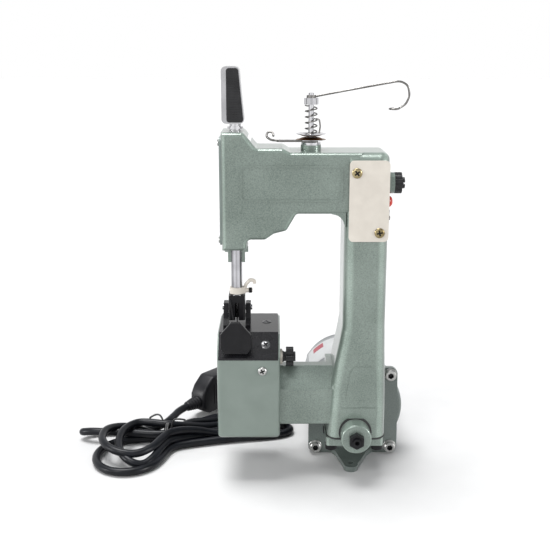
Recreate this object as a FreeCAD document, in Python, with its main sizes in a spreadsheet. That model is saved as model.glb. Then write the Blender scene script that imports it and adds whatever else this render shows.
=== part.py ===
"""Portable bag closer sewing machine: parametric FreeCAD document, millimetres, +Z up.

The design frame has X = 0 and Z = worm_z on the motor and worm axis, Y = 0 on the middle plane of
the arm casting and Z = 0 on the ground. Every sub-part's Placement moves the design by datum_x and
datum_y, which puts the row's origin under the middle of the machine.
"""
import FreeCAD, Part
import Sketcher
import math
import os
import re
from FreeCAD import Rotation, Vector

DIMENSIONS = {
    "datum_x": 28.28, "datum_y": -40.3,
    # arm casting
    "head_left": -95.6, "head_top": 254.6, "head_floor": 172.5, "arm_top": 241.0, "saddle_top": 243.8,
    "arm_floor": 198.6, "arm_front": -20.0, "arm_back": 18.0, "arm_edge": 3.5,
    "grip_left": -10.3, "grip_right": 20.3, "grip_front": -22.0, "grip_edge": 8.5, "base_back": 25.0,
    "base_left": -20.4, "base_right": 21.9, "base_floor": 32.4, "arch_radius": 11.2,
    "low_arm_floor": 42.0, "low_arm_top": 83.0, "low_arm_front": -18.0, "low_arm_bevel": 13.5,
    "boss_radius": 7.2, "boss_top": 244.8, "cover_thickness": 2.0,
    # feed box
    "box_left": -100.0, "box_right": -55.0, "box_front": -28.0, "box_back": 34.7, "box_floor": 35.4,
    "box_rim": 110.3, "box_slope": 15.0, "box_wall": 3.0, "plate": 1.5,
    # drive line
    "worm_z": 37.0, "shaft_z": 57.0, "module_size": 1.0, "worm_root": 4.7, "worm_tip": 6.8,
    "wheel_tip": 14.8, "wheel_root": 12.6, "wheel_face": 6.0, "wheel_teeth": 28, "shaft_radius": 4.0,
    "bush_radius": 6.0, "running_gap": 0.05, "crank_throw": 7.8,
    "worm_phase": 0.0,
    # needle drive in the head
    "needle_x": -86.3, "beam_x": -27.0, "beam_z": 226.0, "beam_front": 59.3, "beam_rear": 30.0,
    "beam_tilt": 15.1, "beam_low": 6.0, "beam_high": 12.0, "needle_bar_radius": 2.5,
    "presser_radius": 4.0, "foot_pivot_y": 6.0, "foot_pivot_z": 125.0, "sole_z": 112.0,
    # thread tension
    "tension_x": -33.5, "disc_radius": 10.5, "stud_radius": 1.95,
    # motor and fan housing
    "motor_radius": 33.0, "motor_wall": 2.5, "motor_front": 45.0, "motor_back": 110.0,
    "drum_x": 2.3, "drum_z": 38.6, "drum_radius": 38.0, "flange": 4.0, "ear_radius": 5.5,
    "bearing_radius": 8.0, "boss_front": -34.0, "bracket_radius": 10.9,
    # power cord
    "cord_radius": 3.1,
}

doc = FreeCAD.newDocument("bag_closer")
sheet = doc.addObject("Spreadsheet::Sheet", "Sheet")
for row, (alias, number) in enumerate(DIMENSIONS.items(), start=1):
    sheet.set(f"A{row}", alias)
    sheet.set(f"B{row}", str(number))
    sheet.setAlias(f"B{row}", alias)
doc.recompute()

PARTS = []
PLANES = {"X": "YZ_Plane", "Y": "XZ_Plane", "Z": "XY_Plane"}
TURNS = {"X": Rotation(Vector(0, 1, 0), 90), "Y": Rotation(Vector(1, 0, 0), -90), "Z": Rotation()}


def formula(text):
    """The text as a document expression: each alias in it gets the sheet's name in front."""
    return re.sub(r"[a-z][a-z_]+", lambda word: "Sheet." * (word[0] in DIMENSIONS) + word[0], str(text))


def value(text):
    """The number that a formula of aliases gives."""
    return float(sheet.evalExpression(formula(text)))


def bind(thing, path, text):
    """Drive one property of an object from the sheet."""
    thing.setExpression(path, formula(text))


def place(thing, x, y, z):
    """Drive an object's position from the sheet."""
    for axis, text in zip("xyz", (x, y, z)):
        bind(thing, f"Placement.Base.{axis}", text)
    return thing


def along(axis, start, first, second):
    """A point given as its place along an axis and its two other coordinates, in X, Y, Z order."""
    return {"X": (start, first, second), "Y": (first, start, second), "Z": (first, second, start)}[axis]


def box(x_from, x_to, y_from, y_to, z_from, z_to):
    block = doc.addObject("Part::Box", "Block")
    for side, low, high in zip(("Length", "Width", "Height"), (x_from, y_from, z_from), (x_to, y_to, z_to)):
        bind(block, side, f"({high}) - ({low})")
    return place(block, x_from, y_from, z_from)


def rod(axis, radius, start, end, first=0, second=0):
    bar = doc.addObject("Part::Cylinder", "Rod")
    bind(bar, "Radius", radius)
    bind(bar, "Height", f"({end}) - ({start})")
    bar.Placement.Rotation = TURNS[axis]
    return place(bar, *along(axis, start, first, second))


def taper(axis, start_radius, end_radius, start, end, first=0, second=0):
    cone = doc.addObject("Part::Cone", "Taper")
    bind(cone, "Radius1", start_radius)
    bind(cone, "Radius2", end_radius)
    bind(cone, "Height", f"({end}) - ({start})")
    cone.Placement.Rotation = TURNS[axis]
    return place(cone, *along(axis, start, first, second))


def fuse(*solids):
    whole = doc.addObject("Part::MultiFuse", "Fusion")
    whole.Shapes = list(solids)
    return whole


def cut(base, *tools):
    rest = doc.addObject("Part::Cut", "Cut")
    rest.Base = base
    rest.Tool = tools[0] if len(tools) == 1 else fuse(*tools)
    return rest


def ring(axis, outer, inner, start, end, first=0, second=0):
    hole = rod(axis, inner, f"({start}) - 1", f"({end}) + 1", first, second)
    return cut(rod(axis, outer, start, end, first, second), hole)


def prism(axis, start, end, points):
    """A padded outline: points are (first, second) coordinates across the axis."""
    body = doc.addObject("PartDesign::Body", "Body")
    sketch = body.newObject("Sketcher::SketchObject", "Outline")
    plane = next(item for item in body.Origin.OriginFeatures if item.Role == PLANES[axis])
    sketch.AttachmentSupport = [(plane, "")]
    sketch.MapMode = "FlatFace"
    # the XZ plane looks towards -Y, so its pad starts at the far end
    bind(sketch, "AttachmentOffset.Base.z", f"-({end})" if axis == "Y" else start)
    corners = [Vector(value(first), value(second), 0) for first, second in points]
    count = len(corners)
    for index, corner in enumerate(corners):
        sketch.addGeometry(Part.LineSegment(corner, corners[(index + 1) % count]), False)
    for index in range(count):
        sketch.addConstraint(Sketcher.Constraint("Coincident", index, 2, (index + 1) % count, 1))
    for index, texts in enumerate(points):
        for kind, text in zip(("DistanceX", "DistanceY"), texts):
            name = sketch.addConstraint(Sketcher.Constraint(kind, index, 1, value(text)))
            if not isinstance(text, (int, float)):
                bind(sketch, f"Constraints[{name}]", text)
    pad = body.newObject("PartDesign::Pad", "Pad")
    pad.Profile = sketch
    bind(pad, "Length", f"({end}) - ({start})")
    doc.recompute()
    return body


def fillet(thing, radius, wanted):
    """Round the edges for which wanted(edge) is true: a body gets a feature, other objects a Part::Fillet."""
    doc.recompute()
    numbers = [number for number, edge in enumerate(thing.Shape.Edges, start=1) if wanted(edge)]
    if thing.TypeId == "PartDesign::Body":
        base = thing.Tip
        rounded = thing.newObject("PartDesign::Fillet", "Rounding")
        rounded.Base = (base, [f"Edge{number}" for number in numbers])
        bind(rounded, "Radius", radius)
        doc.recompute()
        return thing
    rounded = doc.addObject("Part::Fillet", "Rounding")
    rounded.Base = thing
    rounded.Edges = [(number, value(radius), value(radius)) for number in numbers]
    doc.recompute()
    return rounded


def is_parallel(edge, axis):
    """True for a straight edge along a row axis."""
    if not isinstance(edge.Curve, Part.Line):
        return False
    return abs(abs(edge.Curve.Direction.dot({"X": Vector(1, 0, 0), "Y": Vector(0, 1, 0),
                                              "Z": Vector(0, 0, 1)}[axis])) - 1) < 1e-6


def lies_in(edge, axis, level):
    """True for an edge that lies in the plane at a level of an axis."""
    low, high = {"X": (edge.BoundBox.XMin, edge.BoundBox.XMax), "Y": (edge.BoundBox.YMin, edge.BoundBox.YMax),
                 "Z": (edge.BoundBox.ZMin, edge.BoundBox.ZMax)}[axis]
    return abs(low - value(level)) < 0.01 and abs(high - value(level)) < 0.01


def rounded_block(x_from, x_to, y_from, y_to, z_from, z_to, radius, axis):
    """A block whose four edges along one axis are rounded."""
    return fillet(box(x_from, x_to, y_from, y_to, z_from, z_to), radius, lambda edge: is_parallel(edge, axis))


def shape_part(label, shape):
    """A piece whose form is a free path or a thread, kept as a plain shape."""
    piece = doc.addObject("Part::Feature", "Shape")
    piece.Shape = shape
    return sub_part(label, piece)


def sub_part(label, thing):
    """Name a piece of the machine and move it from the design frame to the row's frame."""
    thing.Label = label
    kept = dict(thing.ExpressionEngine)
    for axis, cell in (("x", "datum_x"), ("y", "datum_y")):
        path = f".Placement.Base.{axis}"
        text = kept.get(path) or kept.get(path[1:]) or str(round(getattr(thing.Placement.Base, axis), 6))
        thing.setExpression(path[1:], f"{text} + Sheet.{cell}")
    PARTS.append(thing)
    return thing


def group(label, *solids):
    """Alike pieces, such as a set of screws, as separate solids of one node."""
    pack = doc.addObject("Part::Compound", "Group")
    pack.Links = list(solids)
    return sub_part(label, pack)


def rounded_path(points, limit=None):
    """Straight runs joined by tangent arcs, each as large as 0.45 of its shorter run allows."""
    points = [Vector(*point) for point in points]
    edges, radii, start = [], [], points[0]
    for before, corner, after in zip(points, points[1:], points[2:]):
        back, ahead = before - corner, after - corner
        run = 0.45 * min(back.Length, ahead.Length)
        half_turn = (math.pi - back.getAngle(ahead)) / 2
        radius = run / math.tan(half_turn)
        if limit and radius > limit:
            radius, run = limit, limit * math.tan(half_turn)
        back.normalize()
        ahead.normalize()
        middle = (back + ahead).normalize()
        centre = corner + middle * (radius / math.cos(half_turn))
        begin, end = corner + back * run, corner + ahead * run
        edges.append(Part.LineSegment(start, begin).toShape())
        edges.append(Part.Arc(begin, centre - middle * radius, end).toShape())
        radii.append(radius)
        start = end
    edges.append(Part.LineSegment(start, points[-1]).toShape())
    return Part.Wire(edges), radii


def tube_along(path, radius):
    """A round wire or cord along a path."""
    first = path.Edges[0]
    disc = Part.Wire(Part.makeCircle(radius, first.valueAt(first.FirstParameter), first.tangentAt(0)))
    return path.makePipeShell([disc], True, False)


def coil(radius, wire_radius, low, high, turns, x, y):
    """Spring wire wound about a line along Z."""
    climb = (high - low) - 2 * wire_radius
    helix = Part.makeHelix(climb / turns, climb, radius)
    disc = Part.Wire(Part.makeCircle(wire_radius, Vector(radius, 0, 0), Vector(0, 1, 0)))
    spring = Part.Wire(helix.Edges).makePipeShell([disc], True, True)
    spring.translate(Vector(x, y, low + wire_radius))
    return spring


def screw(axis, head_radius, head, shank_radius, seat, tip, first, second, socket=None):
    """A screw with its head standing on the seat plane; the tip lies on the other side of the seat."""
    way = 1 if value(tip) > value(seat) else -1
    top = f"({seat}) - ({way * head})"
    ends = (top, seat) if way > 0 else (seat, top)
    solid = rod(axis, head_radius, *ends, first, second)
    shank = (seat, tip) if way > 0 else (tip, seat)
    solid = fuse(solid, rod(axis, shank_radius, *shank, first, second))
    if socket:
        deep = f"({top}) + ({way * head * 0.6})"
        hole = (top, deep) if way > 0 else (deep, top)
        solid = cut(solid, rod(axis, socket, *hole, first, second))
    return solid


# ---------------------------------------------------------------- arm casting
def make_body_casting():
    """Head, grip column and lower arm in one hollow casting, open at the back behind the rear cover."""
    head = prism("Y", "arm_front", "arm_back", [
        ("head_left", "head_floor"), ("needle_x + 8.1", "head_floor"), ("needle_x + 8.1", "head_floor + 7.8"),
        ("needle_x + 20.7", "head_floor + 7.8"), ("needle_x + 27", "head_floor + 12.1"),
        ("needle_x + 35.7", "head_floor + 14.3"), ("needle_x + 42.5", "arm_floor"),
        ("grip_left + 12", "arm_floor"), ("grip_left + 12", "arm_top"), ("beam_x - 21.4", "arm_top"),
        ("beam_x - 26.2", "saddle_top"), ("beam_x - 44.5", "saddle_top"), ("needle_x + 6.1", "head_top"),
        ("head_left", "head_top")])
    fillet(head, 3, lambda edge: is_parallel(edge, "Y") and edge.Vertexes[0].X < value("grip_left")
           and edge.Vertexes[0].X > value("head_left + 1"))
    fillet(head, "arm_edge", lambda edge: lies_in(edge, "Y", "arm_front"))
    grip = prism("Y", "grip_front", "arm_back", [
        ("base_left", "base_floor"), ("base_right", "base_floor"), ("base_right", "base_floor + 24"),
        ("grip_right", "base_floor + 84"), ("grip_right", "arm_top"), ("grip_left", "arm_top"),
        ("grip_left", "base_floor + 84"), ("grip_left - 2", "base_floor + 72"),
        ("grip_left - 5.1", "base_floor + 56.5"), ("grip_left - 8", "base_floor + 37.3"),
        ("grip_left - 9.2", "base_floor + 20")])
    fillet(grip, 5, lambda edge: is_parallel(edge, "Y") and edge.Vertexes[0].Z > value("arm_top - 1")
           and edge.Vertexes[0].X > 0)
    fillet(grip, 14, lambda edge: is_parallel(edge, "Y") and value("base_floor + 1") < edge.Vertexes[0].Z
           < value("arm_top - 1"))
    fillet(grip, "grip_edge", lambda edge: lies_in(edge, "Y", "grip_front")
           and edge.BoundBox.ZMax > value("base_floor + 1") and edge.BoundBox.ZMin < value("arm_top - 1"))
    corner = box("grip_left - 9", "grip_left + 1", "arm_front + 1", "arm_back", "arm_floor - 9", "arm_floor + 2")
    corner = fillet(corner, 0.5, lambda edge: is_parallel(edge, "Z")
                    and edge.BoundBox.XMax < value("grip_left - 8"))
    web = cut(corner, rod("Y", 9, "arm_front - 1", "arm_back + 1", "grip_left - 9", "arm_floor - 9"))
    base = fillet(box("base_left", "base_right", 0, "base_back", "base_floor", "low_arm_top"), 3,
                  lambda edge: is_parallel(edge, "X") and edge.BoundBox.YMin > 20 and edge.BoundBox.ZMin > 60)
    low_arm = prism("X", "box_right", "grip_left", [
        ("low_arm_front", "low_arm_floor"), ("-(low_arm_front)", "low_arm_floor"),
        ("-(low_arm_front)", "low_arm_top - low_arm_bevel"), ("-(low_arm_front) - low_arm_bevel", "low_arm_top"),
        ("low_arm_front + low_arm_bevel", "low_arm_top"), ("low_arm_front", "low_arm_top - low_arm_bevel")])
    fillet(low_arm, 1.5, lambda edge: is_parallel(edge, "X"))
    tension_boss = rod("Z", "boss_radius", "arm_top - 2", "boss_top", "tension_x", 0)
    step = fuse(rod("Z", 8.5, "head_floor - 4.5", "head_floor + 2", "needle_x"),
                rod("Z", 6.2, "head_floor - 12", "head_floor", "needle_x"))
    half_boss = cut(step, box("needle_x - 10", "needle_x + 10", -10, -1, "head_floor - 13", "head_floor"))
    fuse_boss = taper("X", 8, 7.4, "grip_right - 4", "grip_right + 5", -2, 218.2)
    frame = cut(rounded_block(-82.5, -12, "arm_front - 0.6", "arm_front + 1", 207.6, 232.3, 3.2, "Y"),
                rounded_block(-81.3, -13.2, "arm_front - 1", "arm_front + 2", 208.8, 231.1, 2.2, "Y"))
    panel = prism("Y", "grip_front - 0.5", "grip_front + 2", [
        (-7.3, 62.8), (15.1, 62.8), (14.2, 83), (11, 88), (-1.5, 88), (-4.6, 83)])
    bar = rounded_block(-11.4, 15.5, "grip_front - 0.5", "grip_front + 2", 48.6, 56.6, 1, "Y")
    solid = fuse(head, grip, web, base, low_arm, tension_boss, half_boss, fuse_boss, frame, panel, bar)
    cavities = [
        box("needle_x - 6.2", "needle_x + 6.4", -15, "arm_back + 1", "head_floor + 4.5", 196),
        box("needle_x - 6.2", "needle_x + 11", -15, "arm_back + 1", 200, "head_top - 3.6"),
        box("needle_x + 9", "beam_x - 24", -15, "arm_back + 1", "head_floor + 17.5", "arm_top - 2.6"),
        box("needle_x + 9", "beam_x - 27.5", -15, "arm_back + 1", "arm_top - 6", "saddle_top - 2.2"),
        box("needle_x + 9", "needle_x + 14.3", -15, "arm_back + 1", "arm_top - 6", "saddle_top - 0.3"),
        box("beam_x - 26", "grip_right - 4", -15, "arm_back + 1", "arm_floor + 3.6", "arm_top - 2.6"),
        box("grip_left + 3.8", "grip_right - 4.3", -16, "arm_back + 1", "low_arm_top - 4", "arm_floor + 5"),
        box("base_left + 9", "base_right - 5", -17, "base_back + 1", 42, "low_arm_top - 4"),
        box("head_left - 1", "needle_x - 6", -12, 12, "head_floor + 14", "head_top - 10"),
        rod("Y", "arch_radius", "grip_front - 1", "base_back + 1", 0, "worm_z"),
        rod("X", "bush_radius", "box_right - 1", "base_left + 12", 0, "shaft_z"),
        rod("Z", "presser_radius + running_gap", "head_floor - 13", 205, "needle_x"),
        rod("Z", "presser_radius + 0.1", "head_top - 5", "head_top + 1", "needle_x"),
        rod("Y", 3.03, "arm_front + 2.4", "arm_back", "beam_x", "beam_z"),
        rod("Z", "stud_radius + 0.05", "arm_top - 4", "boss_top + 1", "tension_x"),
        rod("X", 4.4, "grip_right - 5", "grip_right + 2", -2, 205),
        rod("X", 5.2, "grip_right - 5", "grip_right + 6", -2, 218.2),
        box("grip_left + 5", "grip_right - 5", "grip_front - 1", "grip_front + 7", 190, 224)]
    sub_part("body_casting", cut(solid, *cavities))


def make_covers():
    """Rear cover, left face plate, white switch plate and their screws."""
    cover = prism("Y", "arm_back", "arm_back + cover_thickness", [
        (-94, 175.5), (-79.5, 175.5), (-79.5, 183), (-66, 183.4), (-52.5, 189.5), (-47, 201.4), (-7, 201.4),
        (-7, 86), (17, 86), (17, 238), (-50, 238), (-54.5, 240.8), (-73, 240.8), (-81.5, 251.5), (-94, 251.5)])
    fillet(cover, 2, lambda edge: is_parallel(edge, "Y"))
    spots = [(-89.5, 249.3), (-55, 192.5), (-30, 203.3), (14.6, 235.6), (14.9, 150), (-5, 150),
             (14.9, 89), (-5, 89), (-60, 238.4)]
    holes = [rod("Y", 1.2, "arm_back - 1", "arm_back + 3", *spot) for spot in spots]
    lifter_hole = rod("Y", 1.6, "arm_back - 1", "arm_back + 3", "needle_x - 4.2", 179)
    sub_part("rear_cover", cut(cover, lifter_hole, *holes))
    screws = [screw("Y", 2.4, 1.4, 1.1, "arm_back + cover_thickness", "arm_back", *spot, socket=0.9)
              for spot in spots]
    face = rounded_block("head_left - 1.5", "head_left", -16.5, 14.5, 176, 251, 3, "X")
    spots = [(-13, 179.6), (11, 179.6), (-13, 247.4), (11, 247.4)]
    holes = [rod("X", 1.3, "head_left - 2", "head_left + 1", *spot) for spot in spots]
    sub_part("face_plate", cut(face, *holes))
    screws += [screw("X", 2.4, 1.4, 1.1, "head_left - 1.5", "head_left", *spot, socket=0.9) for spot in spots]
    group("cover_screws", *screws)
    plate = rounded_block(-7.7, 19.8, "grip_front - 1.5", "grip_front", 180.1, 236.2, 3.2, "Y")
    spots = [(-2.7, 227.7), (13.6, 186.3)]
    holes = [rod("Y", 1.7, "grip_front - 2", "grip_front + 1", *spot) for spot in spots]
    sub_part("switch_plate", cut(plate, *holes))
    group("switch_screws", *[screw("Y", 3.5, 1.1, 1.6, "grip_front - 1.5", "grip_front", *spot, socket=1.4)
                             for spot in spots])


# ---------------------------------------------------------------- feed box under the presser foot
def make_feed_box():
    """Box that holds the looper and feed dog, with its bent top plate, throat plate, knob and screws."""
    block = prism("X", "box_left", "box_right", [
        ("box_front", "box_floor"), ("box_back", "box_floor"), ("box_back", "box_rim"),
        ("box_front + box_slope", "box_rim"), ("box_front", "box_rim - box_slope")])
    fillet(block, 3, lambda edge: (is_parallel(edge, "Z") and edge.BoundBox.ZMax < value("box_rim + 1"))
           or (lies_in(edge, "Z", "box_floor") and not lies_in(edge, "X", 0)))
    hollow = fuse(
        box("box_left + box_wall", "box_right - box_wall", "box_front + box_slope + 1", "box_back - box_wall",
            "box_floor + box_wall", "box_rim + 5"),
        box("box_left + box_wall", "box_right - box_wall", "box_front + box_wall", "box_front + box_slope + 2",
            "box_floor + box_wall", "box_rim - box_slope - 4"),
        box("box_left + box_wall", "box_right - box_wall", "box_front + 7", "box_front + box_slope + 2",
            "box_floor + box_wall", "box_rim - box_slope + 1"))
    holes = [rod("X", "bush_radius", "box_right - 5", "box_right + 1", 0, "shaft_z"),
             rod("X", 2.6, "box_right - 4", "box_right + 1", -7, 91),
             rod("Y", 1.6, "box_front - 1", "box_front + 4", -67.6, 87.1)]
    rail = box("box_left + 1", "box_right - 1", 12, "box_back - 1", 101, "box_rim - 0.4")
    channel = box("needle_x - 3.1", "needle_x + 3.1", 11, "box_back - box_wall", 104.9, 107.6)
    sub_part("feed_box", cut(fuse(cut(block, hollow, *holes), rail), channel))
    cover = prism("X", "box_left + 1", "box_right - 1.3", [
        ("box_back - 0.7", "box_rim"), ("box_back - 0.7", "box_rim + plate"),
        ("box_front + box_slope - 0.6", "box_rim + plate"), ("box_front - 0.6", "box_rim + plate - box_slope"),
        ("box_front - 0.6", "box_rim - box_slope"), ("box_front", "box_rim - box_slope"),
        ("box_front + box_slope", "box_rim")])
    fillet(cover, 1.2, lambda edge: is_parallel(edge, "Z") and edge.BoundBox.YMin > 0)
    window = box("needle_x - 8", "needle_x + 8", -10, 12, "box_rim - 1", "box_rim + 3")
    holes = [rod("Z", 1.7, "box_rim - 1", "box_rim + 3", -64.7, 11.3), rod("Z", 1.7, 95, 115, -65.3, -20.6)]
    sub_part("cover_plate", cut(cover, window, *holes))
    flat = screw("Z", 3.5, 0.7, 1.6, "box_rim + plate", "box_rim + plate - 1.4", -64.7, 11.3, socket=1.2)
    tilted = screw("Z", 3.5, 0.7, 1.4, 0, -1.2, 0, 0, socket=1.2)
    tilted.Placement = FreeCAD.Placement(Vector(-65.3, -20.95, 104.45), Rotation(Vector(1, 0, 0), 45))
    throat = box("needle_x - 7.9", "needle_x + 7.9", -9.9, 11.9, "box_rim + 0.1", "box_rim + plate")
    slots = [box("needle_x - 1.2", "needle_x + 1.2", -3.5, 4, "box_rim - 1", "box_rim + 3")]
    for side in (-5, 5):
        slots.append(box(f"needle_x + {side} - 1.3", f"needle_x + {side} + 1.3", -7, 10.5,
                         "box_rim - 1", "box_rim + 3"))
    sub_part("throat_plate", cut(throat, *slots))
    pan = fillet(fuse(rod("Y", 3.2, "box_front - 1.8", "box_front", -67.6, 87.1),
                      rod("Y", 1.55, "box_front", "box_front + 3", -67.6, 87.1)), 1,
                 lambda edge: lies_in(edge, "Y", "box_front - 1.8"))
    cross = [box(-69.6, -65.6, "box_front - 2", "box_front - 1", 86.7, 87.5),
             box(-68, -67.2, "box_front - 2", "box_front - 1", 85.1, 89.1)]
    group("box_screws", flat, tilted, cut(pan, *cross))
    lobes = [rod("X", 2.6, "box_right + 4.4", "box_right + 9.9", f"-7 + 4.6 * cos({60 * number} deg)",
                 f"91 + 4.6 * sin({60 * number} deg)") for number in range(6)]
    knob = fuse(rod("X", 4.2, "box_right + 0.4", "box_right + 2.8", -7, 91),
                rod("X", 5.6, "box_right + 4.4", "box_right + 9.9", -7, 91),
                rod("X", 3.6, "box_right + 2.8", "box_right + 11.4", -7, 91),
                rod("X", 2.5, "box_right - 2.8", "box_right + 3", -7, 91), *lobes)
    sub_part("cover_knob", knob)


def make_looper_and_feed():
    """Looper on its rocking shaft and the toothed feed dog under the throat plate."""
    shaft = rod("Y", 3, "box_front + box_wall + 0.3", "box_back - box_wall - 0.3", "needle_x + 16", 84)
    arm = prism("Y", 3.6, 6.6, [
        ("needle_x + 11.5", 79.5), ("needle_x + 20.5", 79.5), ("needle_x + 19", 91), ("needle_x + 14", 102),
        ("needle_x + 2", 103.4), ("needle_x - 2.4", 102.4), ("needle_x + 2", 100.6), ("needle_x + 10", 99),
        ("needle_x + 13", 91)])
    sub_part("looper", fuse(arm, rod("Y", 5, 2.6, 8.6, "needle_x + 16", 84), shaft))
    bars = []
    for side in (-5, 5):
        rib = [(-3.5, 108.6), (7, 108.6), (7, 111.4)]
        for tooth in range(6):
            rib += [(6.4 - 1.75 * tooth, 111.4), (5.4 - 1.75 * tooth, 110.6)]
        rib += [(-3.5, 111.4)]
        bars.append(prism("X", f"needle_x + {side} - 0.9", f"needle_x + {side} + 0.9", rib))
    bridge = box("needle_x - 5.9", "needle_x + 5.9", 7, 9.4, 105, 109)
    stem = box("needle_x - 3", "needle_x + 3", 9.4, 20, 105, 107.5)
    sub_part("feed_dog", fuse(*bars, *[box(f"needle_x + {side} - 0.9", f"needle_x + {side} + 0.9", -3.5, 9,
                                           107, 109) for side in (-5, 5)], bridge, stem))


# ---------------------------------------------------------------- drive line
def make_gear(teeth, root, tip, face, twist):
    """Toothed wheel about X whose teeth lean by the worm's lead angle."""
    pitch = 2 * math.pi / teeth
    wires = []
    for side in (-1, 1):
        corners = []
        for tooth in range(teeth):
            middle = tooth * pitch + math.pi / 2 + side * twist / 2
            for share, reach in ((-0.24, root), (-0.11, tip), (0.11, tip), (0.24, root)):
                angle = middle + share * pitch
                corners.append(Vector(side * face / 2, reach * math.cos(angle), reach * math.sin(angle)))
        wires.append(Part.makePolygon(corners + corners[:1]))
    return Part.makeLoft(wires, True, True)


def make_drive_line():
    """Worm on the motor axis, worm wheel, main shaft, bushes and the crank that drives the needle."""
    lead = 2 * math.pi * value("module_size")
    pitch_radius = value("(wheel_teeth) * module_size / 2")
    worm_pitch = value("shaft_z - worm_z") - pitch_radius
    lead_angle = math.atan(lead / (2 * math.pi * worm_pitch))
    face = value("wheel_face")
    wheel = make_gear(int(value("wheel_teeth")), value("wheel_root"), value("wheel_tip"), face,
                      face * math.tan(lead_angle) / pitch_radius)
    pin_z = -value("crank_throw")
    wheel = wheel.cut(Part.makeCylinder(4.02, face + 2, Vector(-face / 2 - 1, 0, 0), Vector(1, 0, 0)))
    wheel = wheel.fuse(Part.makeCylinder(2, 2, Vector(face / 2, 0, pin_z), Vector(1, 0, 0)))
    wheel.translate(Vector(0, 0, value("shaft_z")))
    shape_part("worm_wheel", wheel)
    length = 22
    worm = Part.makeCylinder(value("worm_root"), length, Vector(0, -length / 2, 0), Vector(0, 1, 0))
    root, tip = value("worm_root"), value("worm_tip")
    for start in range(2):
        helix = Part.makeHelix(lead, length - 3, root)
        flank = Part.makePolygon([Vector(root - 0.3, 0, -0.95), Vector(tip, 0, -0.42), Vector(tip, 0, 0.42),
                                  Vector(root - 0.3, 0, 0.95), Vector(root - 0.3, 0, -0.95)])
        thread = Part.Wire(helix.Edges).makePipeShell([flank], True, True)
        thread.rotate(Vector(), Vector(0, 0, 1), 180 * start)
        thread.translate(Vector(0, 0, -(length - 3) / 2))
        thread.rotate(Vector(), Vector(1, 0, 0), -90)
        worm = worm.fuse(thread)
    worm = worm.cut(Part.makeCylinder(4.02, length + 2, Vector(0, -length / 2 - 1, 0), Vector(0, 1, 0)))
    worm.rotate(Vector(), Vector(0, 1, 0), value("worm_phase"))
    worm.translate(Vector(0, 0, value("worm_z")))
    shape_part("worm", worm)
    sub_part("main_shaft", fuse(rod("X", "shaft_radius", "box_right - 8", "wheel_face / 2 + 0.4", 0, "shaft_z"),
                                rod("X", 8, "box_right - 12", "box_right - 8", 0, "shaft_z"),
                                rod("X", 2, "box_right - 16", "box_right - 12", 0, "shaft_z + 4.5")))
    bushes = [ring("X", "bush_radius - 0.02", "shaft_radius + running_gap", *span, 0, "shaft_z")
              for span in (("box_right - 3", "box_right + 9"), ("base_left + 1", "base_left + 9"))]
    bushes += [ring("Y", "bearing_radius - 0.02", "shaft_radius + running_gap", *span, 0, "worm_z")
               for span in ((-30.8, -20), ("base_back + 0.2", "base_back + 6"),
                            ("motor_back + 2.2", "motor_back + 8.8"))]
    group("bearing_bushes", *bushes)


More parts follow.
